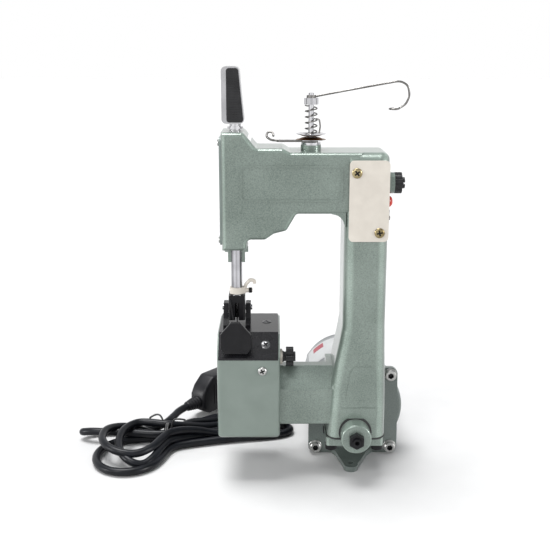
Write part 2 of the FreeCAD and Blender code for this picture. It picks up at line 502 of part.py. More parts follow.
def make_needle_drive():
    """Connecting rod, walking beam, needle bar and needle."""
    tilt = math.radians(value("beam_tilt"))
    beam_x, beam_z = value("beam_x"), value("beam_z")
    rear_x = beam_x + value("beam_rear") * math.cos(tilt)
    rear_z = beam_z - value("beam_rear") * math.sin(tilt)
    low, high = value("beam_low"), value("beam_high")
    plane_y = (low + high) / 2
    foot = Vector(7.6, 0, value("shaft_z - crank_throw"))
    top = Vector(rear_x, plane_y, rear_z - 9)
    link = Part.makeCylinder(2, (top - foot).Length - 3, foot + (top - foot) * (3 / (top - foot).Length), top - foot)
    big_end = Part.makeCylinder(5, 4, foot - Vector(2, 0, 0), Vector(1, 0, 0)).cut(
        Part.makeCylinder(2.3, 6, foot - Vector(3, 0, 0), Vector(1, 0, 0)))
    link = link.cut(Part.makeCylinder(2.3, 6, foot - Vector(3, 0, 0), Vector(1, 0, 0)))
    cheeks = Part.makeBox(6, high - low + 5, 6, Vector(rear_x - 3, low - 2.5, rear_z - 11))
    for start in (low - 2.5, high + 0.3):
        plate = Part.makeBox(6, 2.2, 12, Vector(rear_x - 3, start, rear_z - 11))
        cheeks = cheeks.fuse(plate).fuse(Part.makeCylinder(3.4, 2.2, Vector(rear_x, start, rear_z), Vector(0, 1, 0)))
    pin = Part.makeCylinder(1.6, high - low + 5, Vector(rear_x, low - 2.5, rear_z), Vector(0, 1, 0))
    shape_part("connecting_rod", big_end.fuse(link).fuse(cheeks).fuse(pin))
    front = value("beam_front") / math.cos(tilt)
    beam = Part.makeBox(front + value("beam_rear") - 2, high - low, 5.4, Vector(-front + 2, low, -2.7))
    for centre, radius in ((0, 7), (value("beam_rear"), 4), (-front, 5.6)):
        beam = beam.fuse(Part.makeCylinder(radius, high - low, Vector(centre, low, 0), Vector(0, 1, 0)))
    slot = Part.makeBox(9, 20, 4.5, Vector(-front - 4, 0, -2.25))
    beam = beam.cut(slot).cut(Part.makeCylinder(3.05, 40, Vector(0, -5, 0), Vector(0, 1, 0)))
    beam = beam.cut(Part.makeCylinder(1.65, 40, Vector(value("beam_rear"), -5, 0), Vector(0, 1, 0)))
    beam.rotate(Vector(), Vector(0, 1, 0), math.degrees(tilt))
    beam.translate(Vector(beam_x, 0, beam_z))
    shape_part("needle_beam", beam)
    sub_part("beam_pin", fuse(rod("Y", 3, "arm_front + 2.5", "arm_back", "beam_x", "beam_z"),
                              rod("Y", 5, "beam_low - 2", "beam_low - 0.3", "beam_x", "beam_z")))
    clamp_z = "beam_z + beam_front * tan(beam_tilt * 1 deg)"
    bar = cut(rod("Z", "needle_bar_radius", 150, 288, "needle_x"), rod("Z", 1.05, 149, 158, "needle_x"))
    clamp = fuse(rod("Z", 5.2, f"{clamp_z} - 4", f"{clamp_z} + 4", "needle_x"),
                 rod("Y", 2, 4, "beam_high", "needle_x", clamp_z))
    sub_part("needle_bar", fuse(bar, clamp))
    sub_part("needle", fuse(rod("Z", 1, 132, 158, "needle_x"), rod("Z", 0.75, 119, 132, "needle_x"),
                            taper("Z", 0.2, 0.75, 114, 119, "needle_x")))


# ---------------------------------------------------------------- presser foot
def make_presser():
    """Hollow presser bar with its spring, lifter, hinged foot and thread guide."""
    bar = ring("Z", "presser_radius", "needle_bar_radius + 0.06", 136.4, 200.5, "needle_x")
    collar = ring("Z", 6.2, "presser_radius - 0.5", 181, 184, "needle_x")
    sub_part("presser_bar", fuse(bar, collar))
    shape_part("presser_spring", coil(5.3, 0.5, 184.1, 195.9, 4.25, value("needle_x"), 0))
    shank = fillet(box("needle_x - 5.9", "needle_x + 5.9", -5.5, 9, 118, 136.4), 1.2,
                   lambda edge: is_parallel(edge, "Z"))
    shank = cut(
        shank, rod("Z", 2.95, 117, 137, "needle_x"), box("needle_x - 1.3", "needle_x + 1.3", -6, 0, 117, 131),
        rod("X", 2.02, "needle_x - 7", "needle_x + 7", "foot_pivot_y", "foot_pivot_z"))
    needle_x = value("needle_x")
    path, _ = rounded_path([(needle_x - 4.4, -6.1, 133), (needle_x - 3.6, -6.3, 126), (needle_x - 2.6, -7.2, 119)])
    spring = doc.addObject("Part::Feature", "Spring")
    spring.Shape = tube_along(path, 0.5)
    group("foot_shank", shank, spring)
    sub_part("foot_pin", rod("X", 2, "needle_x - 11", "needle_x + 11", "foot_pivot_y", "foot_pivot_z"))
    ears = []
    for start in ("needle_x - 9.9", "needle_x + 6.3"):
        ears.append(prism("X", start, f"{start} + 3.6", [
            (-8, "sole_z"), (6.5, "sole_z"), (10.4, 117), (10.4, 129), (2, 129), (-4, 119), (-8, 115)]))
    sole = rounded_block("needle_x - 9.9", "needle_x + 9.9", -29.4, 7, "sole_z", "sole_z + 1.5", 1.5, "Z")
    toe = prism("Y", -31.2, -29.2, [
        ("needle_x - 3.2", 124), ("needle_x + 3.2", 124), ("needle_x + 10.8", 115), ("needle_x + 10.8", 104.5),
        ("needle_x + 8", 100.8), ("needle_x - 8", 100.8), ("needle_x - 10.8", 104.5), ("needle_x - 10.8", 115)])
    fillet(toe, 0.7, lambda edge: lies_in(edge, "Y", -31.2))
    sub_part("presser_foot", cut(
        fuse(sole, toe, *ears), rod("Z", 2.2, 110, 115, "needle_x"),
        rod("X", 2.05, "needle_x - 12", "needle_x + 12", "foot_pivot_y", "foot_pivot_z")))
    shaft = rod("Y", 1.5, 4.8, "arm_back + 3", "needle_x - 4.2", 179)
    finger = box("needle_x - 5.2", "needle_x + 3.8", 4.8, 7, 178, 180.8)
    hub = rod("Y", 4, "arm_back + 2.4", "arm_back + 7", "needle_x - 4.2", 179)
    handle = rounded_block("needle_x - 7", "needle_x - 1.4", "arm_back + 3.4", "arm_back + 6", 180, 216, 2.6, "Y")
    sub_part("presser_lifter", fuse(shaft, finger, hub, handle))
    clip = ring("Z", 5.3, "presser_radius + 0.02", 137.4, 142, "needle_x")
    lug = box("needle_x + 4.6", "needle_x + 6.4", -2, 2, 137.4, 142)
    hook, _ = rounded_path([(needle_x + 5.6, 0, 141), (needle_x + 6.8, -1, 144.2), (needle_x + 9.6, -1.6, 147.6),
                            (needle_x + 12.6, -1.8, 147.2), (needle_x + 13, -1.8, 144.8)], 2.2)
    guide = doc.addObject("Part::Feature", "Hook")
    guide.Shape = tube_along(hook, 1.3)
    group("thread_guide", fuse(clip, lug, guide), rod("X", 1.7, "needle_x + 6.5", "needle_x + 11.3", 0, 139.4))


# ---------------------------------------------------------------- thread tension
def make_tension():
    """Stud, discs, spring and nut on the arm's boss, the flat lever and the long wire thread guide."""
    stud = rod("Z", "stud_radius", "arm_top - 2.5", 280.4, "tension_x")
    group("tension_stud", cut(stud, box("tension_x - 3", "tension_x + 3", -0.45, 0.45, 256, 281)),
          ring("Z", 6.8, "stud_radius + 0.05", "boss_top", 246.6, "tension_x"))
    lever = rounded_block("tension_x - 24", "tension_x + 5", -2.6, 2.6, 246.7, 248.1, 2.4, "Z")
    x, eye = value("tension_x"), doc.addObject("Part::Feature", "Eye")
    pigtail, _ = rounded_path([
        (x - 22, 0, 247.5), (x - 28, 0.4, 247.8), (x - 31.5, 1.8, 250.4), (x - 30, 3, 253.6), (x - 26.6, 2, 253.2),
        (x - 26.2, -0.8, 250.8)])
    eye.Shape = tube_along(pigtail, 0.8)
    path, _ = rounded_path([(x + 5.6, -3, 252.9), (x + 6.3, -3.2, 258), (x + 5.6, -3.4, 262.4),
                            (x + 3.6, -4.6, 263)], 2.5)
    hook = doc.addObject("Part::Feature", "Hook")
    hook.Shape = tube_along(path, 0.6)
    group("guide_lever", cut(fuse(lever, eye), rod("Z", "stud_radius + 0.05", 246, 249, "tension_x")), hook)
    for label, start, end, low, high in (("lower_disc", "disc_radius", 4, 248.2, 250.2),
                                         ("upper_disc", 4, "disc_radius", 250.5, 252.5)):
        flare = taper("Z", start, end, low, high, "tension_x")
        inner = taper("Z", start, end, low - 0.7 if label == "lower_disc" else low + 0.7,
                      high - 0.7 if label == "lower_disc" else high + 0.7, "tension_x")
        sub_part(label, cut(flare, inner, rod("Z", "stud_radius + 0.06", low - 1, high + 1, "tension_x")))
    shape_part("tension_spring", coil(4.1, 0.5, 251.4, 272.3, 5, x, 0))
    knurls = [rod("Z", 0.5, 272, 278, f"tension_x + 5.3 * cos({20 * number} deg)",
                  f"5.3 * sin({20 * number} deg)") for number in range(18)]
    sub_part("tension_nut", cut(rod("Z", 5.1, 272.5, 276.9, "tension_x"),
                                rod("Z", "stud_radius + 0.06", 272, 278, "tension_x"), *knurls))
    arm, _ = rounded_path([
        (x + 2.6, 0, 277.9), (x + 30, 0, 283), (x + 61, 0, 288.4), (x + 66.6, 0, 285.6), (x + 68.1, 0, 278.4),
        (x + 65.4, 0, 272.4), (x + 61.2, 0, 270), (x + 60, -2.8, 269.4), (x + 57, -3.6, 269.4),
        (x + 54.4, -1.6, 269.4), (x + 54.4, 1.6, 269.4), (x + 57, 3.4, 269.4), (x + 60, 2.6, 269.6)])
    guide = doc.addObject("Part::Feature", "Wire")
    guide.Shape = tube_along(arm, 0.75)
    sub_part("guide_wire", fuse(guide, ring("Z", 3.3, "stud_radius + 0.06", 277, 278.8, "tension_x")))


def make_needle_bar_guard():
    """Chrome channel with a black ribbed front, on a short stem over the needle bar's top end."""
    def wedge(left, right, slant, front, back, bottom, top, corner):
        outline = [(left, bottom), (right, bottom), (right - slant, top), (left, top)]
        return fillet(prism("Y", front, back, outline), corner, lambda edge: is_parallel(edge, "Y"))

    shell = wedge(-95.4, -79.4, 3.8, -8, 9, 259.7, 298.3, 3.2)
    recess = wedge(-92, -80.2, 3.5, -9, -5.6, 260.6, 297.2, 2)
    stem = fuse(rod("Z", "presser_radius", "head_top - 3", 262, "needle_x"), rod("Z", 5.6, 256, 257.4, "needle_x"))
    bore = rod("Z", "needle_bar_radius + 0.06", "head_top - 5", 292, "needle_x")
    sub_part("guard_shell", cut(fuse(shell, stem), recess, bore))
    front = wedge(-91.9, -80.3, 3.5, -8.2, -5.6, 260.7, 297.1, 1.9)
    ribs = [box(-91.2, -81.6 - 0.33 * number, -8.7, -8, 263 + 3.4 * number, 264 + 3.4 * number)
            for number in range(10)]
    sub_part("guard_cover", fuse(front, *ribs))


# ---------------------------------------------------------------- switch and fuse in the grip
def make_switch():
    body = box(7.2, "grip_right - 4.5", -14, 10, 192, 211)
    sub_part("switch_body", cut(body, rod("X", 4.6, 12.5, 17, -2, 205)))
    dome = fillet(rod("X", 4.3, 15.6, 24.6, -2, 205), 3.4, lambda edge: lies_in(edge, "X", 24.6))
    sub_part("switch_button", dome)
    strip = prism("Y", -6, 2, [("grip_right + 0.1", 200.2), (22.4, 199.5), (21.6, 184), ("grip_right + 0.1", 183)])
    group("switch_bezel", strip, rod("X", 1.5, 22.2, 23.2, -2, 193))
    sub_part("fuse_holder", cut(rod("X", 5.1, 8, "grip_right + 5", -2, 218.2), rod("X", 3, 9, 26, -2, 218.2)))
    flutes = [rod("X", 0.9, 25, 31, f"-2 + 7.9 * cos({30 * number} deg)", f"218.2 + 7.9 * sin({30 * number} deg)")
              for number in range(12)]
    knob = cut(rod("X", 7.5, 25.4, 30.4, -2, 218.2), *flutes)
    end = cut(rod("X", 4, 30, 32.6, -2, 218.2), box(31.4, 33, -7, 3, 217.5, 218.9))
    sub_part("fuse_cap", fuse(knob, end, rod("X", 2.6, 11, 26, -2, 218.2)))


# ---------------------------------------------------------------- motor, fan and front bearing
def make_bracket():
    """Front bearing bracket with the thrust screw that takes up the worm's end play."""
    boss = fillet(rod("Y", "bracket_radius", "boss_front", 24.8, 0, "worm_z"), 1,
                  lambda edge: lies_in(edge, "Y", "boss_front"))
    slab = rounded_block(-21, 21, -20, 24, 26, "base_floor - 0.2", 2.5, "Z")
    mouth = box(-12, 12, -12, 26, "worm_z", "worm_z + 12")
    bores = [rod("Y", 8.9, -12, 26, 0, "worm_z"), rod("Y", "bearing_radius", -31, -11, 0, "worm_z"),
             rod("Y", 3.02, "boss_front - 1", -30, 0, "worm_z")]
    spots = [(x, y) for x in (-17, 17) for y in (-14, 14)]
    holes = [rod("Z", 2.6, 25, 34, *spot) for spot in spots]
    sub_part("bearing_bracket", cut(fuse(boss, slab), mouth, *bores, *holes))
    group("bracket_screws", *[screw("Z", 4, 3.2, 2.5, 26, "base_floor - 0.1", *spot, socket=2) for spot in spots])
    hexagon = [(f"5.8 * cos({60 * corner + 30} deg)", f"worm_z + 5.8 * sin({60 * corner + 30} deg)")
               for corner in range(6)]
    nut = prism("Y", "boss_front - 4.6", "boss_front", hexagon)
    nut = cut(nut, rod("Y", 3.05, "boss_front - 6", "boss_front + 1", 0, "worm_z"))
    thrust = cut(rod("Y", 3, "boss_front - 6.4", -28.4, 0, "worm_z"),
                 rod("Y", 1.6, "boss_front - 7", "boss_front - 3", 0, "worm_z"))
    group("thrust_screw", thrust, nut)


def make_fan_housing():
    """Flange with screw ears, a vented drum round the fan and a foot tongue on the ground."""
    ears = [(-26.8, "ear_radius"), (31.6, "ear_radius"), (30.7, 65.2), (-26.8, 65.2)]
    plate = prism("Y", "base_back", "base_back + flange", [
        (-32.3, 0), (37.1, 0), (37.1, 20), (36.2, 70.7), (-32.3, 70.7)])
    fillet(plate, 5.3, lambda edge: is_parallel(edge, "Y") and not 10 < edge.Vertexes[0].Z < 50)
    drum = fillet(rod("Y", "drum_radius", "base_back", "motor_front + 1", "drum_x", "drum_z"), 2.5,
                  lambda edge: lies_in(edge, "Y", "base_back"))
    tongue = fuse(rod("Z", 5.3, 0, 4, -1.2, -5), prism("Z", 0, 4, [
        (-15.5, 26), (-11.3, 18), (-8.6, 6), (-6.4, -4), (4, -4), (8.4, 6), (13, 18), (18.5, 26)]))
    chamber = rod("Y", 34.5, "base_back + flange", "motor_front - 2", 0, "worm_z")
    back = rod("Y", 29, "motor_front - 3", "motor_front + 2", 0, "worm_z")
    seat = rod("Y", "bearing_radius", "base_back - 1", "base_back + flange + 1", 0, "worm_z")
    holes = [rod("Y", 2.6, "base_back - 1", "base_back + flange + 1", *spot) for spot in ears]
    vents = []
    for angle in list(range(20, 80, 12)) + list(range(104, 164, 12)):
        slot = doc.addObject("Part::Box", "Vent")
        slot.Length, slot.Width, slot.Height = 20, 10, 3
        turn = Rotation(Vector(0, 1, 0), -angle)
        start = Vector(value("drum_x"), 32, value("drum_z")) + turn.multVec(Vector(27, 0, -1.5))
        slot.Placement = FreeCAD.Placement(start, turn)
        vents.append(slot)
    body = cut(fuse(plate, drum, tongue), chamber, back, seat, rod("Z", 2.1, -1, 6, -0.9, -2), *holes, *vents)
    sub_part("fan_housing", body)
    screws = [screw("Y", 4.2, 3.6, 2.5, "base_back - 0.8", "base_back + flange", *spot, socket=2.2)
              for spot in ears]
    washers = [ring("Y", 5, 2.55, "base_back - 0.8", "base_back", *spot) for spot in ears]
    group("flange_screws", *screws, *washers)


def make_motor():
    worm_z = value("worm_z")
    shell = ring("Y", "motor_radius", "motor_radius - motor_wall", "motor_front + 1", "motor_back", 0, "worm_z")
    holes = [rod("X", 4.05, start, start + 12, 100, "worm_z") for start in (-38, 26)]
    sub_part("motor_shell", cut(shell, *holes))
    bell = fillet(rod("Y", "motor_radius", "motor_back", "motor_back + 8", 0, "worm_z"), 5,
                  lambda edge: lies_in(edge, "Y", "motor_back + 8"))
    bell = fuse(bell, rod("Y", 12, "motor_back + 7", "motor_back + 11", 0, "worm_z"))
    slots = [box(f"{x} - 1.2", f"{x} + 1.2", "motor_back - 1", "motor_back + 9", "worm_z + 14", "worm_z + 26")
             for x in (-12, -6, 0, 6, 12)]
    sub_part("motor_end_bell", cut(
        bell, rod("Y", 29, "motor_back - 1", "motor_back + 4", 0, "worm_z"),
        rod("Y", "bearing_radius", "motor_back + 2", "motor_back + 9", 0, "worm_z"),
        rod("Y", 3.9, "motor_back + 3", "motor_back + 9", -14, "worm_z - 13"), *slots))
    sub_part("stator", ring("Y", "motor_radius - motor_wall - 0.1", 19, 56, 94, 0, "worm_z"))
    teeth = [box(-1, 1, 59, 91, worm_z + 14, worm_z + 19) for _ in range(12)]
    for number, tooth in enumerate(teeth):
        turn = Rotation(Vector(0, 1, 0), 30 * number)
        tooth.setExpression("Placement.Base.x", None)
        tooth.setExpression("Placement.Base.z", None)
        tooth.Placement = FreeCAD.Placement(Vector(0, 59, worm_z) + turn.multVec(Vector(-1, 0, 14)), turn)
    core = cut(rod("Y", 18, 60, 90, 0, "worm_z"), *teeth)
    sub_part("armature", fuse(rod("Y", "shaft_radius", -28, "motor_back + 8", 0, "worm_z"), core,
                              rod("Y", 9, 95, 105, 0, "worm_z")))
    blades = []
    for number in range(9):
        blade = doc.addObject("Part::Box", "Blade")
        blade.Length, blade.Width, blade.Height = 25, 8, 1.2
        turn = Rotation(Vector(0, 1, 0), -40 * number)
        blade.Placement = FreeCAD.Placement(Vector(0, 32.5, worm_z) + turn.multVec(Vector(6, 0, -0.6)), turn)
        blades.append(blade)
    fan = fuse(rod("Y", 7, 31.5, 41.5, 0, "worm_z"), rod("Y", 31.5, 40, 41.5, 0, "worm_z"), *blades)
    sub_part("fan", cut(fan, rod("Y", 4.02, 31, 42, 0, "worm_z")))
    caps = [fuse(rod("X", 4, *plug, 100, "worm_z"), rod("X", 5.5, *head, 100, "worm_z"))
            for plug, head in (((-33.2, -24), (-36, -33.2)), ((24, 33.2), (33.2, 36)))]
    group("brush_caps", *caps)
    saddle = rounded_block(-15, 15, 92, 105, 0, 8.5, 2, "Z")
    sub_part("motor_foot", cut(saddle, rod("Y", "motor_radius + 0.05", 90, 107, 0, "worm_z")))


# ---------------------------------------------------------------- power cord
LEAD_ROUTE = [(-14, 141, 24), (-14, 153, 23), (-21, 165, 14), (-35, 171, 5), (-50, 165, 3.3), (-59, 149, 3.3),
              (-62, 128, 3.3), (-61, 104, 3.3)]
TAIL_ROUTE = [(-143, 57, 12), (-142.8, 67.5, 12.6), (-139.6, 77.4, 13.4), (-133.7, 84.9, 14)]
HANK_OUTLINE = [(-39, 62), (-39, 92), (-50, 104), (-92, 104), (-112, 94), (-124, 80), (-137, 57), (-150, 57),
                (-166, 61), (-196, 63), (-216, 64), (-223, 57), (-222, 46), (-205, 36), (-203, 16), (-192, -8),
                (-176, -21), (-155, -22), (-143, -8), (-140, 22), (-104, 35)]
PLUG_TURN = 52


def make_cord():
    """Gland, lead, hank, tail and plug of the power cord, laid on the ground at the machine's left."""
    radius = value("cord_radius")
    sub_part("cord_gland", fuse(
        taper("Y", 6, 4.4, "motor_back + 8", "motor_back + 31", -14, "worm_z - 13"),
        rod("Y", 3.8, "motor_back + 3", "motor_back + 9", -14, "worm_z - 13")))
    for label, route in (("cord_lead", LEAD_ROUTE), ("cord_tail", TAIL_ROUTE)):
        path, radii = rounded_path(route)
        tube = tube_along(path, radius)
        print(label, "length", round(path.Length), "radii", [round(item) for item in radii],
              "volume share", round(tube.Volume / (math.pi * radius ** 2 * path.Length), 4))
        shape_part(label, tube)
    sub_part("cord_hank", prism("Z", 0, 22, HANK_OUTLINE))
    body = prism("Y", -8, 8, [(14, 6), (21, 3), (52, 3), (52, 35), (26, 35), (17, 27), (14, 20)])
    fillet(body, 1.5, lambda edge: is_parallel(edge, "Y"))
    pins = [rod("X", 2.2, 51, 70, 0, height) for height in (10, 28)]
    boot = taper("X", 3.6, 6, 0, 15, 0, 14)
    plug = fuse(body, boot, *pins)
    plug.Placement = FreeCAD.Placement(Vector(*TAIL_ROUTE[-1][:2], 0), Rotation(Vector(0, 0, 1), PLUG_TURN))
    sub_part("plug", plug)


MAKERS = (make_body_casting, make_covers, make_feed_box, make_looper_and_feed, make_drive_line,
          make_needle_drive, make_presser, make_tension, make_needle_bar_guard, make_switch, make_bracket,
          make_fan_housing, make_motor, make_cord)
for make in MAKERS:
    make()
doc.recompute()

faults = [f"{item.Label}: {state}" for item in doc.Objects for state in item.State if state in ("Invalid", "Error")]
for piece in PARTS:
    if piece.Shape.isNull() or not piece.Shape.isValid() or not piece.Shape.Solids:
        faults.append(f"{piece.Label}: shape is not valid")
if faults:
    raise SystemExit("\n".join(faults))
os.makedirs("parts", exist_ok=True)
for piece in PARTS:
    piece.Shape.exportStep(f"parts/{piece.Label}.step")
whole = Part.makeCompound([piece.Shape for piece in PARTS if not piece.Label.startswith(("cord_", "plug"))]).BoundBox
print(len(PARTS), "sub-parts; box without the cord", [round(number, 2) for number in (
    whole.XMin, whole.XMax, whole.YMin, whole.YMax, whole.ZMin, whole.ZMax)])
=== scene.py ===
"""Looks of the portable bag closer sewing machine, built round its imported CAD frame. Metres."""
import math

import bmesh
import bpy
from mathutils import Matrix, Vector


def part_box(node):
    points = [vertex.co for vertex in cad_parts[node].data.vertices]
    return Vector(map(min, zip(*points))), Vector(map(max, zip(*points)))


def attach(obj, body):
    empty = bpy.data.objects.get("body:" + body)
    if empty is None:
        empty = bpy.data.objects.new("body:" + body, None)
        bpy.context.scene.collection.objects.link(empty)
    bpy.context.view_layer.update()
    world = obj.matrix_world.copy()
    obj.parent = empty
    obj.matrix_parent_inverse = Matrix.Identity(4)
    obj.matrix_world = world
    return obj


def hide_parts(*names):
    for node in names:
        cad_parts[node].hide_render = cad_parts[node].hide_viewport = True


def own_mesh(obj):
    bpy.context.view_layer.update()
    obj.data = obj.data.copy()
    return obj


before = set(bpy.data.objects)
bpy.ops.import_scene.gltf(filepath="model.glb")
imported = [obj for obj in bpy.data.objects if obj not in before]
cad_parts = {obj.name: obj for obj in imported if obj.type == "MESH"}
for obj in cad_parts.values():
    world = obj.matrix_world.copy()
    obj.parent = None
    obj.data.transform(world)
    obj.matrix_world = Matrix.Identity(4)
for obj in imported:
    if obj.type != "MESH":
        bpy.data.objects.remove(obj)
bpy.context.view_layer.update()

MM = 0.001
TENSION_X, NEEDLE_X = -33.5, -86.3   # the tension stud's and the presser bar's own X
MOTOR_AXIS_Z = 37
BOX_FRONT_Y, GRIP_FRONT_Y = -28, -23.5   # seats of the screws on the feed box and on the switch plate
EARS_FRONT_Y, COVER_BACK_Y, FACE_PLATE_X, BRACKET_UNDER_Z = 25, 20, -97.1, 26   # and of the others
TO_FRONT = (0, -1, 0)


def middle(node, axis):
    low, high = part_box(node)
    return (low[axis] + high[axis]) / 2


AXIS_X = middle("armature", 0)       # the motor axis is X = 0 of the design frame
PLANE_Y = middle("needle", 1)        # the casting's middle plane is its Y = 0


def at(x, y, z):
    """A design-frame place in millimetres as a place in the row's frame."""
    return Vector((AXIS_X + x * MM, PLANE_Y + y * MM, z * MM))


# ------------------------------------------------------------------ camera
CAMERA_PLACE = (-58.6, -639.4, 310.1)
CAMERA_PITCH = 76                    # degrees up from straight down
FOCAL_LENGTH, SENSOR_WIDTH = 59.5, 36


def make_camera():
    data = bpy.data.cameras.new("camera")
    data.lens, data.sensor_width = FOCAL_LENGTH, SENSOR_WIDTH
    camera = bpy.data.objects.new("camera", data)
    camera.location = at(*CAMERA_PLACE)
    camera.rotation_euler = (math.radians(CAMERA_PITCH), 0, 0)
    bpy.context.collection.objects.link(camera)
    bpy.context.scene.camera = camera


# ------------------------------------------------------------------ materials
def shader(name, color, roughness, metallic=0.0, **sockets):
    """A Principled material; sockets are given as snake_case names of the shader's own inputs."""
    material = bpy.data.materials.new(name)
    material.use_nodes = True
    principled = material.node_tree.nodes["Principled BSDF"]
    principled.inputs["Base Color"].default_value = (*color, 1)
    principled.inputs["Roughness"].default_value = roughness
    principled.inputs["Metallic"].default_value = metallic
    for socket, number in sockets.items():
        principled.inputs[socket.replace("_", " ").title().replace("Ior", "IOR")].default_value = number
    return material


def texture(material, kind, scale, **settings):
    """A texture node on object coordinates; scale is in repeats per metre."""
    nodes, links = material.node_tree.nodes, material.node_tree.links
    place = nodes.get("Place") or nodes.new("ShaderNodeTexCoord")
    place.name = "Place"
    made = nodes.new(kind)
    made.inputs["Scale"].default_value = scale
    for name, setting in settings.items():
        if name in made.inputs:
            made.inputs[name].default_value = setting
        else:
            setattr(made, name, setting)
    links.new(place.outputs["Object"], made.inputs["Vector"])
    return made


def tint(material, source, low, high, dark, light):
    """Colour that runs from dark to light as the source goes from low to high."""
    nodes, links = material.node_tree.nodes, material.node_tree.links
    ramp = nodes.new("ShaderNodeValToRGB")
    ramp.color_ramp.elements[0].position, ramp.color_ramp.elements[0].color = low, (*dark, 1)
    ramp.color_ramp.elements[1].position, ramp.color_ramp.elements[1].color = high, (*light, 1)
    links.new(source, ramp.inputs["Fac"])
    links.new(ramp.outputs["Color"], nodes["Principled BSDF"].inputs["Base Color"])


def gloss(material, source, low, high):
    """Roughness that varies between low and high with the source."""
    nodes, links = material.node_tree.nodes, material.node_tree.links
    spread = nodes.new("ShaderNodeMapRange")
    spread.inputs["To Min"].default_value, spread.inputs["To Max"].default_value = low, high
    links.new(source, spread.inputs["Value"])
    links.new(spread.outputs["Result"], nodes["Principled BSDF"].inputs["Roughness"])


def bump(material, source, distance, strength=1.0):
    """Relief from the source; several calls stack."""
    nodes, links = material.node_tree.nodes, material.node_tree.links
    relief = nodes.new("ShaderNodeBump")
    relief.inputs["Distance"].default_value = distance
    relief.inputs["Strength"].default_value = strength
    links.new(source, relief.inputs["Height"])
    normal = nodes["Principled BSDF"].inputs["Normal"]
    if normal.links:
        links.new(normal.links[0].from_socket, relief.inputs["Normal"])
    links.new(relief.outputs["Normal"], normal)


FLECK_SHARE = 0.55                   # of hammered enamel's tone; the rest comes from the slow changes


def hammered(name, dark, light, roughness=0.34):
    """Hammered enamel: shallow dimples, fine silvery flecks and slow changes of tone."""
    material = shader(name, light, roughness, 0.35, coat_weight=0.6, coat_roughness=0.1)
    cells = texture(material, "ShaderNodeTexVoronoi", 420, feature="SMOOTH_F1")
    flecks = texture(material, "ShaderNodeTexNoise", 1500, Detail=3.0)
    slow = texture(material, "ShaderNodeTexNoise", 22, Detail=2.0)
    nodes, links = material.node_tree.nodes, material.node_tree.links
    blend = nodes.new("ShaderNodeMath")
    blend.operation = "MULTIPLY_ADD"
    blend.inputs[1].default_value = FLECK_SHARE
    links.new(flecks.outputs["Fac"], blend.inputs[0])
    half = nodes.new("ShaderNodeMath")
    half.operation = "MULTIPLY"
    half.inputs[1].default_value = 1 - FLECK_SHARE
    links.new(slow.outputs["Fac"], half.inputs[0])
    links.new(half.outputs[0], blend.inputs[2])
    tint(material, blend.outputs[0], 0.32, 0.68, dark, light)
    gloss(material, flecks.outputs["Fac"], roughness - 0.08, roughness + 0.12)
    bump(material, cells.outputs["Distance"], 0.0002, 0.4)
    bump(material, flecks.outputs["Fac"], 0.00004, 0.4)
    return material


def smooth_paint(name, dark, light, roughness, metallic=0.0, coat=0.2):
    """Sprayed paint with faint orange peel."""
    material = shader(name, light, roughness, metallic, coat_weight=coat, coat_roughness=0.2)
    slow = texture(material, "ShaderNodeTexNoise", 45, Detail=3.0)
    peel = texture(material, "ShaderNodeTexNoise", 900, Detail=1.0)
    tint(material, slow.outputs["Fac"], 0.35, 0.65, dark, light)
    gloss(material, slow.outputs["Fac"], roughness - 0.05, roughness + 0.08)
    bump(material, peel.outputs["Fac"], 0.00004, 0.5)
    return material


def metal(name, dark, light, roughness, grain=(1, 1, 1)):
    """Turned, ground or plated metal; grain stretches the fine scratches."""
    material = shader(name, light, roughness, 1.0)
    nodes, links = material.node_tree.nodes, material.node_tree.links
    lines = texture(material, "ShaderNodeTexNoise", 1.0, Detail=4.0)
    stretch = nodes.new("ShaderNodeMapping")
    stretch.inputs["Scale"].default_value = [900 * share for share in grain]
    links.new(nodes["Place"].outputs["Object"], stretch.inputs["Vector"])
    links.new(stretch.outputs["Vector"], lines.inputs["Vector"])
    stain = texture(material, "ShaderNodeTexNoise", 70, Detail=4.0)
    tint(material, stain.outputs["Fac"], 0.3, 0.62, dark, light)
    gloss(material, lines.outputs["Fac"], roughness * 0.7, roughness * 1.5)
    bump(material, lines.outputs["Fac"], 0.00002, 0.35)
    return material


# (how far the surface turns to the side, tone) pairs: painted reflection stripes for chrome and steel, painted
# highlights and painted shade for the enamel's rounded edges and sides
CHROME_PAINTED_REFLECTION = ((0.0, 0.62), (0.22, 1.0), (0.48, 1.0), (0.66, 0.28), (0.84, 0.75), (1.0, 0.31))
ENAMEL_PAINTED_HIGHLIGHT_AND_SHADE = ((0.0, 0.80), (0.14, 0.80), (0.38, 1.15), (0.62, 1.12), (0.86, 0.70), (1.0, 0.76))


def paint_side_light_bands(material, painted_tones, share=0.85):
    """Paints light and shade into a finish's colour by how far its surface turns to the side: bands of painted
    highlight, painted reflection and painted shade, as a studio with dim walls would give.
    """
    nodes, links = material.node_tree.nodes, material.node_tree.links
    split = nodes.new("ShaderNodeSeparateXYZ")
    size = nodes.new("ShaderNodeMath")
    size.operation = "ABSOLUTE"
    shade = nodes.new("ShaderNodeValToRGB")
    stops = shade.color_ramp.elements
    for end, (position, tone) in zip((stops[0], stops[1]), (painted_tones[0], painted_tones[-1])):
        end.position, end.color = position, (tone, tone, tone, 1)
    for position, tone in painted_tones[1:-1]:
        stops.new(position).color = (tone, tone, tone, 1)
    blend = nodes.new("ShaderNodeMix")
    blend.data_type, blend.blend_type = "RGBA", "MULTIPLY"
    blend.inputs["Factor"].default_value = share
    tone = nodes["Principled BSDF"].inputs["Base Color"]
    source = tone.links[0].from_socket
    links.new(nodes["Place"].outputs["Normal"], split.inputs["Vector"])
    links.new(split.outputs["X"], size.inputs[0])
    links.new(size.outputs[0], shade.inputs["Fac"])
    links.new(source, blend.inputs["A"])
    links.new(shade.outputs["Color"], blend.inputs["B"])
    links.new(blend.outputs["Result"], tone)
    return material


